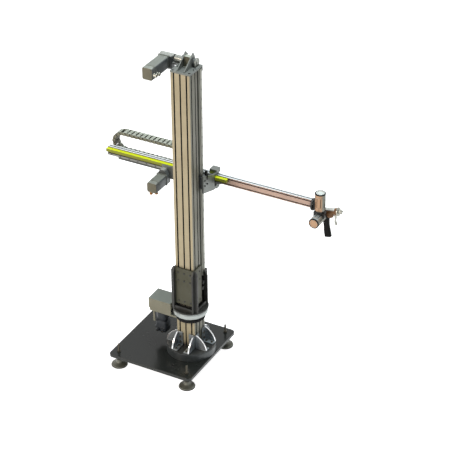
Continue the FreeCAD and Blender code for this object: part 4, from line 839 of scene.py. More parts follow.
@dataclass
class ServoMotor:
    """A square servo motor with a grooved body and an end cap."""

    node: str
    name: str
    body: str
    axis: Point = (0, -1, 0)
    case: Finish = MOTOR_GREY
    lid: Finish = MOTOR_CAP
    corner: float = 11.0
    flange: float = 8.0
    cap: float = 30.0

    def build(self) -> None:
        """Builds the motor in the box of its node."""
        low, high = node_box(self.node)
        size, middle = high - low, (low + high) / 2
        width, height, length = size.x, size.z, size.y
        start = (middle.x, high.y, middle.z)
        if self.axis[2]:
            height, length = size.y, size.z
            start = (middle.x, middle.y, high.z)
        place = placed(start, self.axis, (1, 0, 0))
        piece = Sculpt(self.name, self.case)
        piece.prism(rounded(width, height, 5), self.flange, place, 0.8)
        self._trunk(piece, place, width - 5, height - 5, length)
        piece.use(self.lid)
        w, h, c = width - 6, height - 6, self.corner
        neck = length - self.cap
        sections = [(rounded(w - 6, h - 6, c), neck - 3), (rounded(w - 6, h - 6, c), neck),
                    (rounded(w, h, c), neck + 0.5), (rounded(w, h, c), length - 4),
                    (rounded(w - 2.4, h - 2.4, c), length - 1.2), (rounded(w - 7, h - 7, c), length)]
        piece.loft(sections, place)
        piece.use(BLACK_OXIDE)
        for sx in (-1, 1):
            for sy in (-1, 1):
                u, v = sx * (width / 2 - 7.5), sy * (height / 2 - 7.5)
                spot = place @ Vector((u, v, self.flange))
                piece.hex_screw(placed(spot, self.axis), 3.6, 3.4)
                spot = place @ Vector((sx * (w / 2 - 9), sy * (h / 2 - 9), length - 0.6))
                piece.hex_screw(placed(spot, self.axis), 2.6, 0.6)
        piece.build(self.body, "motor_paint", (self.node,))

    def _trunk(self, piece: Sculpt, place: Matrix, width: float, height: float, length: float) -> None:
        """Adds the long body with shallow grooves near both ends.

        Args:
            piece: piece that gets it.
            place: placing of the motor.
            width: full width.
            height: full height.
            length: whole length of the motor.
        """
        end = length - self.cap - 2
        c = self.corner
        sections = [(rounded(width - 3, height - 3, c), self.flange - 1),
                    (rounded(width, height, c), self.flange + 1.5)]
        for groove in (self.flange + 12, end - 8):
            for step, inset in ((0, 0), (0.6, 1.6), (2.2, 1.6), (2.8, 0)):
                sections.append((rounded(width - inset, height - inset, c), groove + step))
        sections += [(rounded(width, height, c), end - 1), (rounded(width - 3, height - 3, c), end)]
        piece.loft(sections, place)


@dataclass
class RoundSockets:
    """Round cable sockets with a knurled ring and pins."""

    node: str
    name: str
    body: str
    axis: Point
    spots: list[Point]
    finish: Finish = NICKEL
    radius: float = 9.0
    length: float = 16.0
    pins: int = 5
    pin_circle: float = 2.9

    def build(self) -> None:
        """Builds the sockets on their spots."""
        piece = Sculpt(self.name, self.finish)
        r, h = self.radius, self.length
        for spot in self.spots:
            place = placed(spot, self.axis)
            piece.use(self.finish)
            piece.prism(rounded(2 * r - 0.4, 2 * r - 0.4, 3), 2.6, place, 0.5)
            piece.turned([(0, 2), (r - 1.6, 2), (r - 1.6, 5), (r - 2.4, 5.6), (r - 2.4, 7), (r - 1.7, 7.6),
                          (r - 1.7, h * 0.55), (0, h * 0.55)], place, 40)
            piece.turned([(r - 3.4, h * 0.5), (r - 0.4, h * 0.5), (r, h * 0.54), (r, h - 2.4),
                          (r - 0.5, h - 1.4), (r - 1.6, h), (r - 3.2, h), (r - 3.4, h * 0.5)],
                         place, teeth=26, tooth=0.45)
            piece.use(GRIP_BLACK)
            piece.turned([(0, h * 0.5), (r - 3.3, h * 0.5), (r - 3.3, h - 5), (0, h - 5)], place, 32)
            piece.use(BRASS)
            for u, v in ring(self.pin_circle, self.pins):
                pin = place @ Matrix.Translation((u, v, h - 5.2))
                piece.turned([(0, 0), (0.6, 0), (0.6, 3), (0.3, 3.6), (0, 3.6)], pin, 10)
        piece.build(self.body, "socket_metal", (self.node,))


@dataclass
class ToothedBelt:
    """An endless toothed belt round two pulleys."""

    node: str
    name: str
    body: str
    first: tuple[Vector, float]
    second: tuple[Vector, float]
    side: Vector
    width: float
    thick: float = 2.5
    tooth: float = 1.5
    pitch: float = 5.0

    def path(self) -> list[tuple[Vector, Vector, Vector]]:
        """Walks once round both pulleys.

        Returns:
            Place, outward and sideways direction of every quarter tooth.
        """
        (a, ra), (b, rb) = self.first, self.second
        along = (b - a).normalized()
        across = self.side.cross(along)
        gap = (b - a).length
        lean = math.acos((ra - rb) / gap)

        def on(centre: Vector, radius: float, angle: float) -> tuple[Vector, Vector]:
            """Gives a spot on a pulley and its outward direction."""
            out = along * math.cos(angle) + across * math.sin(angle)
            return centre + out * radius, out

        parts = [(a, ra, lean, math.tau - lean), (b, rb, -lean, lean)]
        straight = math.sqrt(gap ** 2 - (ra - rb) ** 2)
        total = sum(r * (stop - start) for _, r, start, stop in parts) + 2 * straight
        teeth = round(total / self.pitch)
        step = total / teeth / 4
        steps = []
        for k in range(teeth * 4):
            s = k * step
            first = ra * (math.tau - 2 * lean)
            if s < first:
                spot, out = on(a, ra, lean + s / ra)
            elif s < first + straight:
                spot, out = on(a, ra, -lean)
                run = (on(b, rb, -lean)[0] - spot).normalized()
                spot = spot + run * (s - first)
            elif s < first + straight + rb * 2 * lean:
                spot, out = on(b, rb, -lean + (s - first - straight) / rb)
            else:
                spot, out = on(b, rb, lean)
                run = (on(a, ra, lean)[0] - spot).normalized()
                spot = spot + run * (s - first - straight - rb * 2 * lean)
            steps.append((spot, out, self.side))
        return steps

    def section(self, step: int) -> Outline:
        """Gives the outline of the belt at a step: thick on a tooth, thin between."""
        low = 0.0 if step % 4 in (0, 1) else self.tooth
        half = self.width / 2
        return [(-half, low), (half, low), (half, self.thick - 0.4), (half - 0.5, self.thick),
                (-half + 0.5, self.thick), (-half, self.thick - 0.4)]

    def build(self) -> None:
        """Builds the belt."""
        piece = Sculpt(self.name, BELT_BLACK)
        piece.band(self.path(), self.section)
        piece.build(self.body, "belt_rubber", (self.node,))


@dataclass
class EnergyChain:
    """The cable-carrying chain: two runs and the turn at the left end."""

    pitch: float = 30.0
    radius: float = 63.0
    loop_x: float = -584.0
    wall: float = 3.0
    gap: float = 0.4
    overhang: float = 6.4
    links: int = 16
    segments: int = 8
    low: Vector = field(default_factory=lambda: node_box("chain_lower_run")[0])
    high: Vector = field(default_factory=lambda: node_box("chain_upper_run")[1])

    @property
    def height(self) -> float:
        """Height of one link."""
        a, b = node_box("chain_lower_run")
        return b.z - a.z

    @property
    def axis_z(self) -> float:
        """Level of the turn's centre."""
        return self.low.z + self.height / 2 + self.radius

    @property
    def middle_y(self) -> float:
        """Middle of the chain across its width."""
        return (self.low.y + self.high.y) / 2

    @property
    def anchor_x(self) -> float:
        """Where both runs are fixed."""
        return self.loop_x + self.links * self.pitch

    def plate(self, start: float, stop: float) -> Outline:
        """Draws one half of a side plate, with round ends.

        Args:
            start: centre of the rear round end.
            stop: centre of the front round end.

        Returns:
            The outline along the link and its height.
        """
        half = self.height / 2
        points = []
        for centre, facing in ((stop, 0.0), (start, math.pi)):
            for k in range(self.segments + 1):
                angle = facing - math.pi / 2 + math.pi * k / self.segments
                points.append((centre + self.overhang * math.cos(angle), half * math.sin(angle)))
        return points

    def link(self, piece: Sculpt, x: float, z: float, angle: float) -> None:
        """Adds one link.

        Args:
            piece: piece that gets it.
            x: place of the rear pin along X.
            z: level of the rear pin.
            angle: turn about the Y axis, in radians.
        """
        half = (self.high.y - self.low.y) / 2
        base = Matrix.Translation((x, self.middle_y, z)) @ Matrix.Rotation(angle, 4, "Y")
        inner = self.wall + self.gap
        for side in (-1, 1):
            piece.use(CHAIN_GREY)
            mid = self.pitch * 0.5
            rear = self.plate(0.0, mid - 2)
            front = self.plate(mid + 2, self.pitch)
            for outline, offset in ((rear, inner), (front, 0.0)):
                depth = self.wall - 0.2
                y = side * (half - offset) - (depth if side > 0 else 0)
                piece.prism(outline, depth, sideways(base, y + depth), 0.35)
            pin = base @ placed((self.pitch, side * (half - 0.6), 0), (0, side, 0))
            piece.use(CHAIN_PIN).turned([(0, 0), (4.4, 0), (4.4, 0.5), (3.9, 0.6), (2.2, 0.6), (2.0, 0.2),
                                         (0, 0.2)], pin, 20)
        piece.use(CHAIN_GREY)
        top = self.height / 2
        start, stop = self.pitch * 0.13, self.pitch * 0.85
        span = half - self.wall - 0.3
        for level, way in ((-top, 1), (top, -1)):
            lid = [(start, 0.8), (start + 1.2, 0.1), (stop - 1.2, 0.1), (stop, 0.8), (stop, 2.4),
                   (start, 2.4)]
            outline = [(u, level + way * v) for u, v in lid]
            for near, far in ((-span, -0.7), (0.7, span)):
                piece.prism(outline, far - near, sideways(base, far), 0.3)
        for y in (-half / 3, half / 3):
            piece.prism([(self.pitch * 0.42, -top + 2.2), (self.pitch * 0.58, -top + 2.2),
                         (self.pitch * 0.58, top - 2.2), (self.pitch * 0.42, top - 2.2)], 1.8,
                        sideways(base, y + 0.9), 0.3)

    def build(self) -> None:
        """Builds both runs and the turn."""
        far = 2 * self.loop_x - self.anchor_x
        for upper, (start, end) in enumerate(((self.anchor_x, far), (far, self.anchor_x))):
            run = ("lower", "upper")[upper]
            piece = Sculpt(f"chain_{run}", CHAIN_GREY)
            z = self.axis_z + (self.radius if upper else -self.radius)
            for k in range(self.links):
                self.link(piece, self.loop_x + (k + upper) * self.pitch, z, math.pi * upper)
            piece.build_blend("chain_plastic", (f"chain_{run}_run",))
        turn = Sculpt("chain_turn_links", CHAIN_GREY)
        step = 2 * math.asin(self.pitch / 2 / self.radius)
        count = int(math.pi / step)
        spare = (math.pi - count * step) / 2
        for k in range(count):
            start = math.pi / 2 + spare + k * step
            x = self.loop_x + self.radius * math.cos(start)
            z = self.axis_z + self.radius * math.sin(start)
            self.link(turn, x, z, -(start + step / 2 + math.pi / 2))
        turn.build("chain_turn", "chain_plastic", ("chain_loop",))


@dataclass
class RailCaps:
    """Plugs in the screw holes of the guide rails."""

    spacing: float = 60.0
    radius: float = 4.6

    def row(self, name: str, body: str, spot: Callable[[float], Point], along: tuple[float, float],
            axis: Point) -> None:
        """Builds the plugs of one rail.

        Args:
            name: name of the piece.
            body: body that carries it.
            spot: gives the place of a plug from its distance along the rail.
            along: first and last distance.
            axis: direction out of the rail.
        """
        piece = Sculpt(name, CAP_BLACK)
        distance = along[0] + self.spacing / 2
        while distance < along[1] - 8:
            place = placed(spot(distance), axis)
            r = self.radius
            piece.turned([(0, -0.6), (r, -0.6), (r, 0.1), (r - 0.4, 0.15), (r * 0.6, 0.0), (0, 0.0)],
                         place, 24)
            distance += self.spacing
        piece.build(body, "rail_steel")

    def build(self) -> None:
        """Builds the plugs of the lift rails and the arm rail."""
        low, high = node_box("lift_rails")
        middle = (low.y + high.y) / 2
        for sign, name in ((1, "right"), (-1, "left")):
            self.row(f"rail_plugs_{name}", "column",
                     lambda d, s=sign: (s * high.x, middle, d), (low.z, high.z), (sign, 0, 0))
        low, high = node_box("arm_rail")
        level = (low.z + high.z) / 2
        self.row("rail_plugs_arm", "arm", lambda d: (d, low.y, level), (low.x, high.x), (0, -1, 0))


@dataclass
class Wrist:
    """The two round motors of the wrist."""

    flutes: int = 9
    flute_start: float = 30.0
    flute_spare: float = 55.0

    def motor(self, name: str, node: str, body: str, place: Matrix, radius: float, length: float,
              finish: Finish) -> None:
        """Draws one round motor.

        Args:
            name: name of the piece.
            node: CAD node that it stands for.
            body: body that carries it.
            place: placing with Z along the motor.
            radius: radius of the housing.
            length: whole length.
            finish: finish of the housing.
        """
        piece = Sculpt(name, finish)
        r, h = radius, length
        piece.turned([(0, 0), (r - 8, 0), (r - 7, 0.6), (r - 2, 4.4), (r - 0.4, 6.6), (r, 8.6), (r, 26),
                      (r - 0.7, 26.6), (r - 0.7, 28), (r, 28.6), (r, h - 22.4), (r - 1, h - 21.8),
                      (r - 1, h - 18.8), (r, h - 18.2), (r, h - 4), (r - 0.6, h - 2), (r - 2.2, h - 0.5),
                      (r - 4, h), (r - 12, h), (r - 13, h - 1.2), (0, h - 1.2)],
                     place, 72)
        piece.use(BELT_BLACK)
        piece.turned([(r - 6, h - 6), (r + 0.15, h - 6), (r + 0.15, h - 1.6), (r - 1.4, h + 0.2),
                      (r - 6, h + 0.2), (r - 6, h - 6)], place, 72)
        for k in range(self.flutes):
            spin = place @ Matrix.Rotation(math.tau * (k + 0.5) / self.flutes, 4, "Z")
            strip = [(r - 0.8, -1.6), (r + 0.15, -1.6), (r + 0.15, 1.6), (r - 0.8, 1.6)]
            piece.prism(strip, h - self.flute_spare, spin @ Matrix.Translation((0, 0, self.flute_start)), 0.1)
        piece.use(NICKEL)
        for u, v in ring(r - 8, 6, shift=0.5):
            spot = place @ Vector((u, v, h))
            piece.hex_screw(Matrix.Translation(spot - place.translation) @ place, 2.6, 0.35)
        piece.build(body, "wrist_aluminium", (node,))

    def build(self) -> None:
        """Builds both motors."""
        low, high = node_box("wrist_yaw_motor")
        radius = (high.x - low.x) / 2
        place = Matrix.Translation(((low.x + high.x) / 2, (low.y + high.y) / 2, low.z))
        self.motor("yaw_motor", "wrist_yaw_motor", "arm", place, radius, high.z - low.z, WRIST_ALLOY)
        low, high = node_box("wrist_pitch_motor")
        radius = (high.x - low.x) / 2
        place = placed(((low.x + high.x) / 2, high.y, (low.z + high.z) / 2), (0, -1, 0))
        self.motor("pitch_motor", "wrist_pitch_motor", "wrist", place, radius, high.y - low.y, LEVEL_ALLOY)


@dataclass
class PulleyGuard:
    """Bent sheet guard between the uprights of the bearing stand, in front of the belt pulley."""

    left_inset: float = 46.0
    right_inset: float = 6.0
    slit: float = 0.3
    sheet: float = 2.0
    front_gap: float = 6.0
    height: float = 60.0
    roof: float = 26.0
    tab: float = 14.0

    def build(self) -> None:
        """Builds the guard with its folded feet and four screws."""
        low, high = node_box("bearing_stand")
        pulley_low, _ = node_box("lift_drive_pulley")
        left, right = high.x - self.left_inset + self.slit, high.x - self.right_inset - self.slit
        front, t = pulley_low.y - self.front_gap, self.sheet
        top = low.z + self.height
        piece = Sculpt("pulley_guard", GUARD_OLIVE)
        piece.block((left, front - t, low.z + 0.1), (right, front, top), 0.6)
        piece.block((left, front - t, top - t), (right, front + self.roof, top), 0.6)
        piece.block((left, front - self.tab, low.z + 0.1), (right, front, low.z + 0.1 + t), 0.6)
        piece.use(ZINC)
        for x in (left + 9, right - 9):
            piece.hex_screw(placed((x, front - self.tab * 0.6, low.z + t + 0.1), (0, 0, 1)), 2.6, 2.2)
            piece.hex_screw(placed((x, front - t, top - 9), (0, -1, 0)), 2.2, 1.8)
        piece.build("column", "sheet_steel")


@dataclass
class SprayGun:
    """The gun, drawn level and then pitched up about the wrist axis."""

    pitch_up: float = 12.0
    barrel_offset: float = 16.0
    barrel_radius: float = 18.0
    barrel_length: float = 84.0
    grip_length: float = 132.0
    grip_width: float = 41.0
    grip_thickness: float = 27.0

    def tilt(self) -> Matrix:
        """Gives the pitch of the gun about the axis of the lower motor."""
        low, high = node_box("wrist_pitch_motor")
        centre = Vector(((low.x + high.x) / 2, 0, (low.z + high.z) / 2))
        turn = Matrix.Rotation(-math.radians(self.pitch_up), 4, "Y")
        return Matrix.Translation(centre) @ turn

    def grip(self, x0: float, y: float, z1: float) -> None:
        """Builds the moulded handle with finger ribs and an air inlet.

        Args:
            x0: rear of the handle's top.
            y: middle plane of the gun.
            z1: level of the handle's top.
        """
        piece = Sculpt("gun_grip", GRIP_BLACK)
        sections = []
        steps = 22
        for k in range(steps + 1):
            share = k / steps
            width = self.grip_width * (1.0 - 0.15 * math.sin(math.pi * min(1.0, share * 1.15)) ** 2)
            width -= 0.9 * (k % 2) * (0.15 < share < 0.85)
            thick = self.grip_thickness * (1 - 0.1 * share)
            shift = x0 + self.grip_width / 2 - 4 - 10.5 * math.sin(share * math.pi / 2)
            outline = [(shift + u, v) for u, v in rounded(width, thick, 9, 6)]
            sections.append((outline, z1 - share * self.grip_length))
        place = self.tilt() @ Matrix.Translation((0, y, 0))
        piece.loft(sections, place)
        low = z1 - self.grip_length
        piece.use(NICKEL)
        mouth = place @ Matrix.Translation((x0 + self.grip_width / 2 - 14, 0, low))
        piece.turned([(4.4, 1.5), (6.6, 1.5), (6.6, -0.05), (4.4, -0.05), (4.4, 1.5)], mouth, 32)
        piece.build("gun", "handle_black", ("gun_handle",))

    def build(self) -> None:
        """Builds the gun body, cover, handle and air cap; the trigger stays the CAD's own."""
        low, high = node_box("gun_handle")
        y = (low.y + high.y) / 2
        tilt = self.tilt()
        x0, z = 10.0, self.barrel_offset
        r, length = self.barrel_radius, self.barrel_length
        along = tilt @ placed((x0, y, z), (1, 0, 0), (0, 1, 0))
        piece = Sculpt("gun_barrel", GUN_BROWN)
        lathe = [(0, -30), (r - 11, -30), (r - 9, -28.6), (r - 9, -18), (r - 10, -17), (r - 6.6, -16),
                 (r - 6, -15), (r - 6, -2), (r - 3, 0), (r - 0.6, 1.4), (r, 3), (r, 20), (r - 0.7, 20.8),
                 (r - 0.7, 22.4), (r, 23.2), (r, length - 14), (r + 3, length - 12), (r + 4, length - 10),
                 (r + 4, length - 1.6), (r + 2.6, length), (0, length)]
        piece.turned(lathe, along, 56)
        shoulder = [(-12, -r - 10), (-8, -r - 12), (10, -r - 15), (24, -r - 19), (40, -r - 20), (50, -r - 17),
                    (55, -r - 10), (56, 0), (-12, 0)]
        side = tilt @ placed((x0, y + r - 5, z), (0, -1, 0), (1, 0, 0))
        piece.prism(shoulder, 2 * r - 10, side, 2.5)
        piece.use(NICKEL)
        for u in (6, 40):
            spot = tilt @ placed((x0 + u, y + r - 5, z - r - 4), (0, 1, 0))
            piece.hex_screw(spot, 3.0, 1.2)
        self._cut_flat(piece, y - (r - 4))
        piece.build("gun", "gun_brown", ("gun_body",))
        cover = Sculpt("gun_cover", GUN_WHITE)
        self._cover(cover, tilt @ placed((x0 + 2, y, z), (1, 0, 0), (0, 1, 0)), r, length - 16)
        self._cut_flat(cover, node_box("gun_top")[0].y)
        cover.build("gun", "gun_white", ("gun_top",))
        self.grip(x0 - 12, y, z - r - 12)
        cap = Sculpt("gun_air_cap", NICKEL)
        front = tilt @ placed((x0 + length, y, z), (1, 0, 0), (0, 1, 0))
        low, high = node_box("air_cap")
        wide = (high.y - low.y) / 2
        cap.turned([(0, 0.2), (wide - 2, 0.2), (wide, 2), (wide, 6.5), (wide - 2, 8), (wide - 6, 9),
                    (14, 9.6), (11, 10), (10.5, 16), (13.4, 17), (13.6, 18), (13.6, 24), (12.6, 25),
                    (6, 25), (4.4, 26.5), (2.4, 27.4), (2, 29), (0.8, 29), (0.8, 26), (0, 26)], front, 56)
        for side in (-1, 1):
            horn = [(-4, 0), (4, 0), (3, 5.6), (1.6, 6), (-1.6, 6), (-3, 5.6)]
            spot = tilt @ placed((x0 + length + 24, y + side * 9 - 2.6, z), (0, 1, 0), (0, 0, 1))
            cap.prism(horn, 5.2, spot, 0.8)
        cap.build("gun", "nozzle_metal", ("air_cap",))

    @staticmethod
    def _cut_flat(piece: Sculpt, level: float) -> None:
        """Trims a piece of the gun flat on the side of the clamp.

        Args:
            piece: the barrel or its cover.
            level: place of the flat across the gun.
        """
        form = piece.form
        geometry = form.verts[:] + form.edges[:] + form.faces[:]
        cut = bmesh.ops.bisect_plane(form, geom=geometry, plane_co=(0, level, 0), plane_no=(0, -1, 0),
                                     clear_outer=True)
        rims = [e for e in cut["geom_cut"] if isinstance(e, bmesh.types.BMEdge)]
        bmesh.ops.holes_fill(form, edges=rims)

    @staticmethod
    def _cover(piece: Sculpt, place: Matrix, radius: float, length: float) -> None:
        """Adds the pale half shell over the barrel.

        Args:
            piece: piece that gets it.
            place: placing with Z along the barrel and X across it.
            radius: radius of the barrel.
            length: length of the shell.
        """
        first, last = 0.345, math.pi - 0.345
        steps = 22
        sections = []
        for h, grow in ((0.0, 1.2), (1.5, 3.2), (4, 4.0), (length - 6, 4.0), (length - 2, 3.4),
                        (length, 2.0)):
            outline = []
            for reach in (radius + 0.05, radius + grow):
                sweep = range(steps + 1) if reach > radius + 0.1 else range(steps, -1, -1)
                for k in sweep:
                    angle = first + (last - first) * k / steps
                    outline.append((-reach * math.cos(angle), reach * math.sin(angle)))
            sections.append((outline, h))
        piece.loft(sections, place)


@dataclass
class LimitSwitch:
    """Roller lever switch on the carriage."""

    inset: float = 18.0
    shelf_drop: float = 42.0
    shelf_half: float = 8.0
    shelf: float = 3.0
    case_half: float = 10.0
    case_top: float = 26.0

    def build(self) -> None:
        """Builds the switch in the box of its node."""
        low, high = node_box("limit_switch")
        piece = Sculpt("end_switch", GRIP_BLACK)
        middle, z = low.y + self.inset, high.z - self.shelf_drop
        near, far = middle - self.shelf_half, middle + self.shelf_half
        piece.block((low.x, near, z), (high.x, far, z + self.shelf), 0.6)
        piece.block((high.x - 2, near, low.z), (high.x, far, z + 1), 0.4)
        piece.block((low.x + 1, middle - self.case_half, z + self.shelf),
                    (low.x + 13, middle + self.case_half, z + self.case_top), 1.6)
        piece.use(NICKEL)
        spot = (low.x + 7, middle, z + 24)
        lever = placed(spot, (0, -12, 13), (1, 0, 0))
        piece.prism([(-3, -1), (3, -1), (3, 1), (-3, 1)], 16, lever, 0.3)
        piece.use(CAP_BLACK)
        wheel = placed((low.x + 4, middle - 12, z + 37), (1, 0, 0))
        piece.turned([(0, 0), (4.4, 0), (5, 0.6), (5, 5.4), (4.4, 6), (0, 6)], wheel, 32)
        piece.use(ZINC)
        for dy in (-6, 6):
            piece.hex_screw(placed((high.x - 0.4, middle + dy, z - 8), (1, 0, 0)), 2.4, 0.4)
        piece.build("carriage", "flange_black", ("limit_switch",))


@dataclass
class ScrewPatterns:
    """Visible cap screws on flat faces of the machined parts."""

    radius: float = 4.2
    height: float = 3.2
    plate_inset: float = 12.0
    plate_rows: tuple[float, float] = (12.0, 62.0)
    rail_y: float = 64.0
    runner_half: float = 37.5
    flange_step: float = 9.0
    flange_circle: float = 29.0
    rail_clearance: float = 4.0
    disc_circle: float = 132.0
    ring_circle: float = 96.0
    ring_step: float = 10.0
    cover_left: float = 22.0
    cover_right: float = 62.0
    cover_drop: float = 14.0

    def place_all(self, name: str, body: str, spots: list[tuple[Point, Point]], radius: float,
                  finish: Finish = BLACK_OXIDE) -> None:
        """Builds one group of screw heads.

        Args:
            name: name of the piece.
            body: body that carries it.
            spots: places with the directions out of the surface.
            radius: radius of the heads.
            finish: finish of the heads.
        """
        piece = Sculpt(name, finish)
        for spot, axis in spots:
            piece.hex_screw(placed(spot, axis), radius, self.height * radius / self.radius)
        piece.build(body, "screw_steel")

    def build(self) -> None:
        """Builds the groups."""
        low, high = node_box("top_plate")
        spots = [((x, low.y + y, high.z), UP)
                 for x in (low.x + self.plate_inset, high.x - self.plate_inset) for y in self.plate_rows]
        self.place_all("top_plate_screws", "column", spots, self.radius)
        side_x = node_box("carriage_side_plates")[1].x
        level = node_box("runner_blocks")[1].z - self.runner_half
        spots = [((side * side_x, self.rail_y + dy, level + dz), (side, 0, 0))
                 for side in (-1, 1) for dy in (-14, 14) for dz in (-17, 17)]
        self.place_all("side_plate_screws", "carriage", spots, 5.2)
        x = node_box("arm_flange")[0].x + self.flange_step
        _, y, z = node_middle("arm_flange")
        rail_z = node_middle("arm_rail")[2]
        spots = [((x, y + u, z + v), (1, 0, 0)) for u, v in ring(self.flange_circle, 6, shift=0.5)]
        spots = [s for s in spots if abs(s[0][2] - rail_z) > self.rail_clearance]
        self.place_all("flange_screws", "arm", spots, 2.8, NICKEL)
        level = node_box("foot_disc")[1].z
        spots = [((u, v, level), UP) for u, v in ring(self.disc_circle, 8, shift=0.5)]
        self.place_all("disc_screws", "base", spots, 4.6)
        level = node_box("turret_frame")[0].z + self.ring_step
        spots = [((u, v, level), UP) for u, v in ring(self.ring_circle, 12, shift=0.5)]
        self.place_all("ring_screws", "column", spots, 3.4)
        low, high = node_box("swivel_cover")
        spots = [((x, low.y, high.z - self.cover_drop), (0, -1, 0))
                 for x in (low.x + self.cover_left, high.x - self.cover_right)]
        self.place_all("cover_screws", "base", spots, 3.2, NICKEL)


def sockets_and_belts() -> None:
    """Builds the cable sockets of the three motors and the two toothed belts."""
    low, high = node_box("swivel_motor_sockets")
    level = (low.z + high.z) / 2
    face = high.x - 9
    RoundSockets("swivel_motor_sockets", "swivel_sockets_front", "base", (0, -1, 0),
                 [(face, low.y + 16, level), (face - 34, low.y + 16, level)], SWIVEL_GREY).build()
    RoundSockets("swivel_motor_sockets", "swivel_sockets_left", "base", (-1, 0, 0),
                 [(low.x + 16, high.y - 9, level)], SWIVEL_GREY).build()
    low, high = node_box("lift_motor_sockets")
    RoundSockets("lift_motor_sockets", "lift_sockets", "column", (1, 0, 0),
                 [(low.x, low.y + 9, high.z - 9), (low.x, high.y - 9, low.z + 9)], radius=11.0,
                 length=20.0).build()
    low, high = node_box("arm_motor_sockets")
    RoundSockets("arm_motor_sockets", "arm_sockets", "carriage", (0, 0, -1),
                 [(low.x + 9, low.y + 9, high.z), (high.x - 9, high.y - 9, high.z)], BRONZE, 10.0,
                 18.0).build()
    low, high = node_box("swivel_drive_pulley")
    drive = Vector(((low.x + high.x) / 2, (low.y + high.y) / 2, 0))
    low, high = node_box("swivel_belt")
    drive.z = (low.z + high.z) / 2
    thick = ToothedBelt.thick
    ToothedBelt("swivel_belt", "swivel_belt_toothed", "base", (Vector((0, 0, drive.z)), high.x - thick),
                (drive, drive.x - low.x - thick), Vector((0, 0, 1)), high.z - low.z).build()
    low, high = node_box("lift_belt")
    radius = (high.y - low.y) / 2 - thick
    middle = (low.y + high.y) / 2
    ToothedBelt("lift_belt", "lift_belt_toothed", "column",
                (Vector((0, middle, low.z + radius + thick)), radius),
                (Vector((0, middle, high.z - radius - thick)), radius), Vector((1, 0, 0)),
                high.x - low.x).build()


def build_pieces() -> None:
    """Builds every sub-assembly in order."""
    ThreadedFeet().build()
    FootBrackets().build()
    ServoMotor("swivel_motor", "swivel_motor_case", "base", (0, 0, -1), SWIVEL_GREY, SWIVEL_GREY,
               cap=24.0).build()
    ServoMotor("lift_motor", "lift_motor_case", "column").build()
    ServoMotor("arm_motor", "arm_motor_case", "carriage").build()
    sockets_and_belts()
    EnergyChain().build()
    PulleyGuard().build()
    RailCaps().build()
    Wrist().build()
    SprayGun().build()
    LimitSwitch().build()
    ScrewPatterns().build()


def dress_cad_nodes() -> None:
    """Gives every CAD node its finish."""
    for finish, nodes in NODE_FINISHES.items():
        for node in nodes:
            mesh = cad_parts[node].data
            mesh.materials.clear()
            mesh.materials.append(finish.material())
    LOG.info("dressed %d CAD nodes", sum(len(n) for n in NODE_FINISHES.values()))


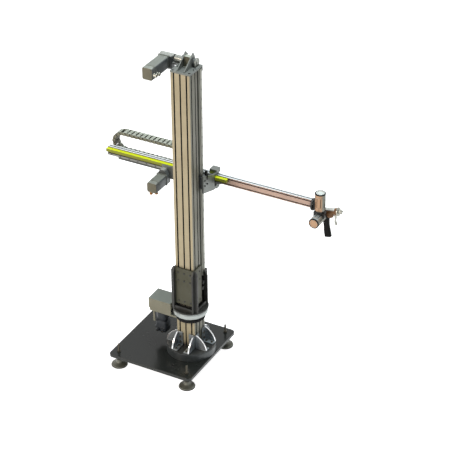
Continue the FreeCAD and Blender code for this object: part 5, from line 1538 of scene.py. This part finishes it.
@dataclass
class Studio:
    """Camera, lamps, floor and background."""

    eye: Point = (4.18279, -7.15845, 5.99985)
    azimuth: float = 0.503503
    elevation: float = 0.55267
    roll: float = -0.0093709
    focal_share: float = 1682.93 / 450.0
    film: float = 36.0
    aim_height: float = 0.9
    floor_half: float = 40.0
    floor_level: float = -0.0752
    floor_lift: float = 0.95
    glow: float = 0.1
    lamps: list[tuple[str, Point, float, float, Colour]] = field(default_factory=lambda: [
        ("key_lamp", (-2.6, -5.2, 3.2), 150.0, 1.8, (1.0, 0.87, 0.75)),
        ("fill_lamp", (5.2, -1.2, 2.2), 6.0, 2.6, (0.84, 0.93, 1.0)),
        ("top_lamp", (0.3, 0.8, 5.6), 210.0, 2.0, (0.9, 0.97, 1.0)),
    ])

    def camera(self) -> None:
        """Places the camera that was fitted to the photograph."""
        data = bpy.data.cameras.new("camera")
        data.sensor_width = self.film
        data.lens = self.film * self.focal_share
        data.dof.use_dof = False
        data.clip_start, data.clip_end = 0.1, 100.0
        cam = add_object("camera", data)
        a, e = self.azimuth, self.elevation
        back = Vector((math.sin(a) * math.cos(e), -math.cos(a) * math.cos(e), math.sin(e)))
        right = Vector((math.cos(a), math.sin(a), 0.0))
        up = back.cross(right)
        c, s = math.cos(self.roll), math.sin(self.roll)
        turned_right, turned_up = right * c + up * s, up * c - right * s
        turn = Matrix((turned_right, turned_up, back)).transposed()
        cam.matrix_world = Matrix.Translation(self.eye) @ turn.to_4x4()
        bpy.context.scene.camera = cam

    def lights(self) -> None:
        """Adds the soft area lamps and the white surroundings."""
        for name, place, power, size, colour in self.lamps:
            data = bpy.data.lights.new(name, "AREA")
            data.energy, data.size, data.color = power, size, colour
            lamp = add_object(name, data)
            lamp.location = place
            aim = Vector((0.0, 0.0, self.aim_height)) - Vector(place)
            lamp.rotation_mode = "QUATERNION"
            lamp.rotation_quaternion = aim.to_track_quat("-Z", "Y")
        world = bpy.data.worlds.new("surroundings")
        world.use_nodes = True
        wires, nodes = Wires(world.node_tree), world.node_tree.nodes
        glow = nodes["Background"]
        wires.feed(glow, {"Color": WHITE, "Strength": self.glow})
        plain = wires.add("Background", {"Color": WHITE, "Strength": 1.0})
        shown = wires.add("MixShader", {0: wires.seen(), 1: glow.outputs[0], 2: plain.outputs[0]})
        wires.feed(nodes["World Output"], {"Surface": shown.outputs[0]})
        bpy.context.scene.world = world

    def floor(self) -> None:
        """Adds the plain pale floor under the feet."""
        mesh = bpy.data.meshes.new("floor")
        r = self.floor_half
        mesh.from_pydata([(-r, -r, 0), (r, -r, 0), (r, r, 0), (-r, r, 0)], [], [(0, 1, 2, 3)])
        floor = add_object("floor", mesh)
        floor.location.z = self.floor_level
        made, wires, shader = new_material("floor_white")
        wires.feed(shader, {"Base Color": (0.9, 0.9, 0.9, 1.0), "Roughness": 0.8})
        share = wires.add("Math", {0: wires.seen(), 1: self.floor_lift}, operation="MULTIPLY")
        white = wires.add("Emission", {"Color": WHITE, "Strength": share.outputs[0]})
        both = wires.add("AddShader", {0: shader.outputs[0], 1: white.outputs[0]})
        wires.feed(made.node_tree.nodes["Material Output"], {"Surface": both.outputs[0]})
        mesh.materials.append(made)

    def build(self) -> None:
        """Builds the whole studio."""
        bpy.context.scene.view_settings.view_transform = "Standard"
        self.camera()
        self.lights()
        self.floor()
        LOG.info("studio ready")


def main() -> None:
    """Builds the pieces and the studio in order."""
    logging.basicConfig(level=logging.INFO)
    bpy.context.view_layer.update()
    dress_cad_nodes()
    build_pieces()
    Studio().build()


if __name__ == "__main__":
    main()
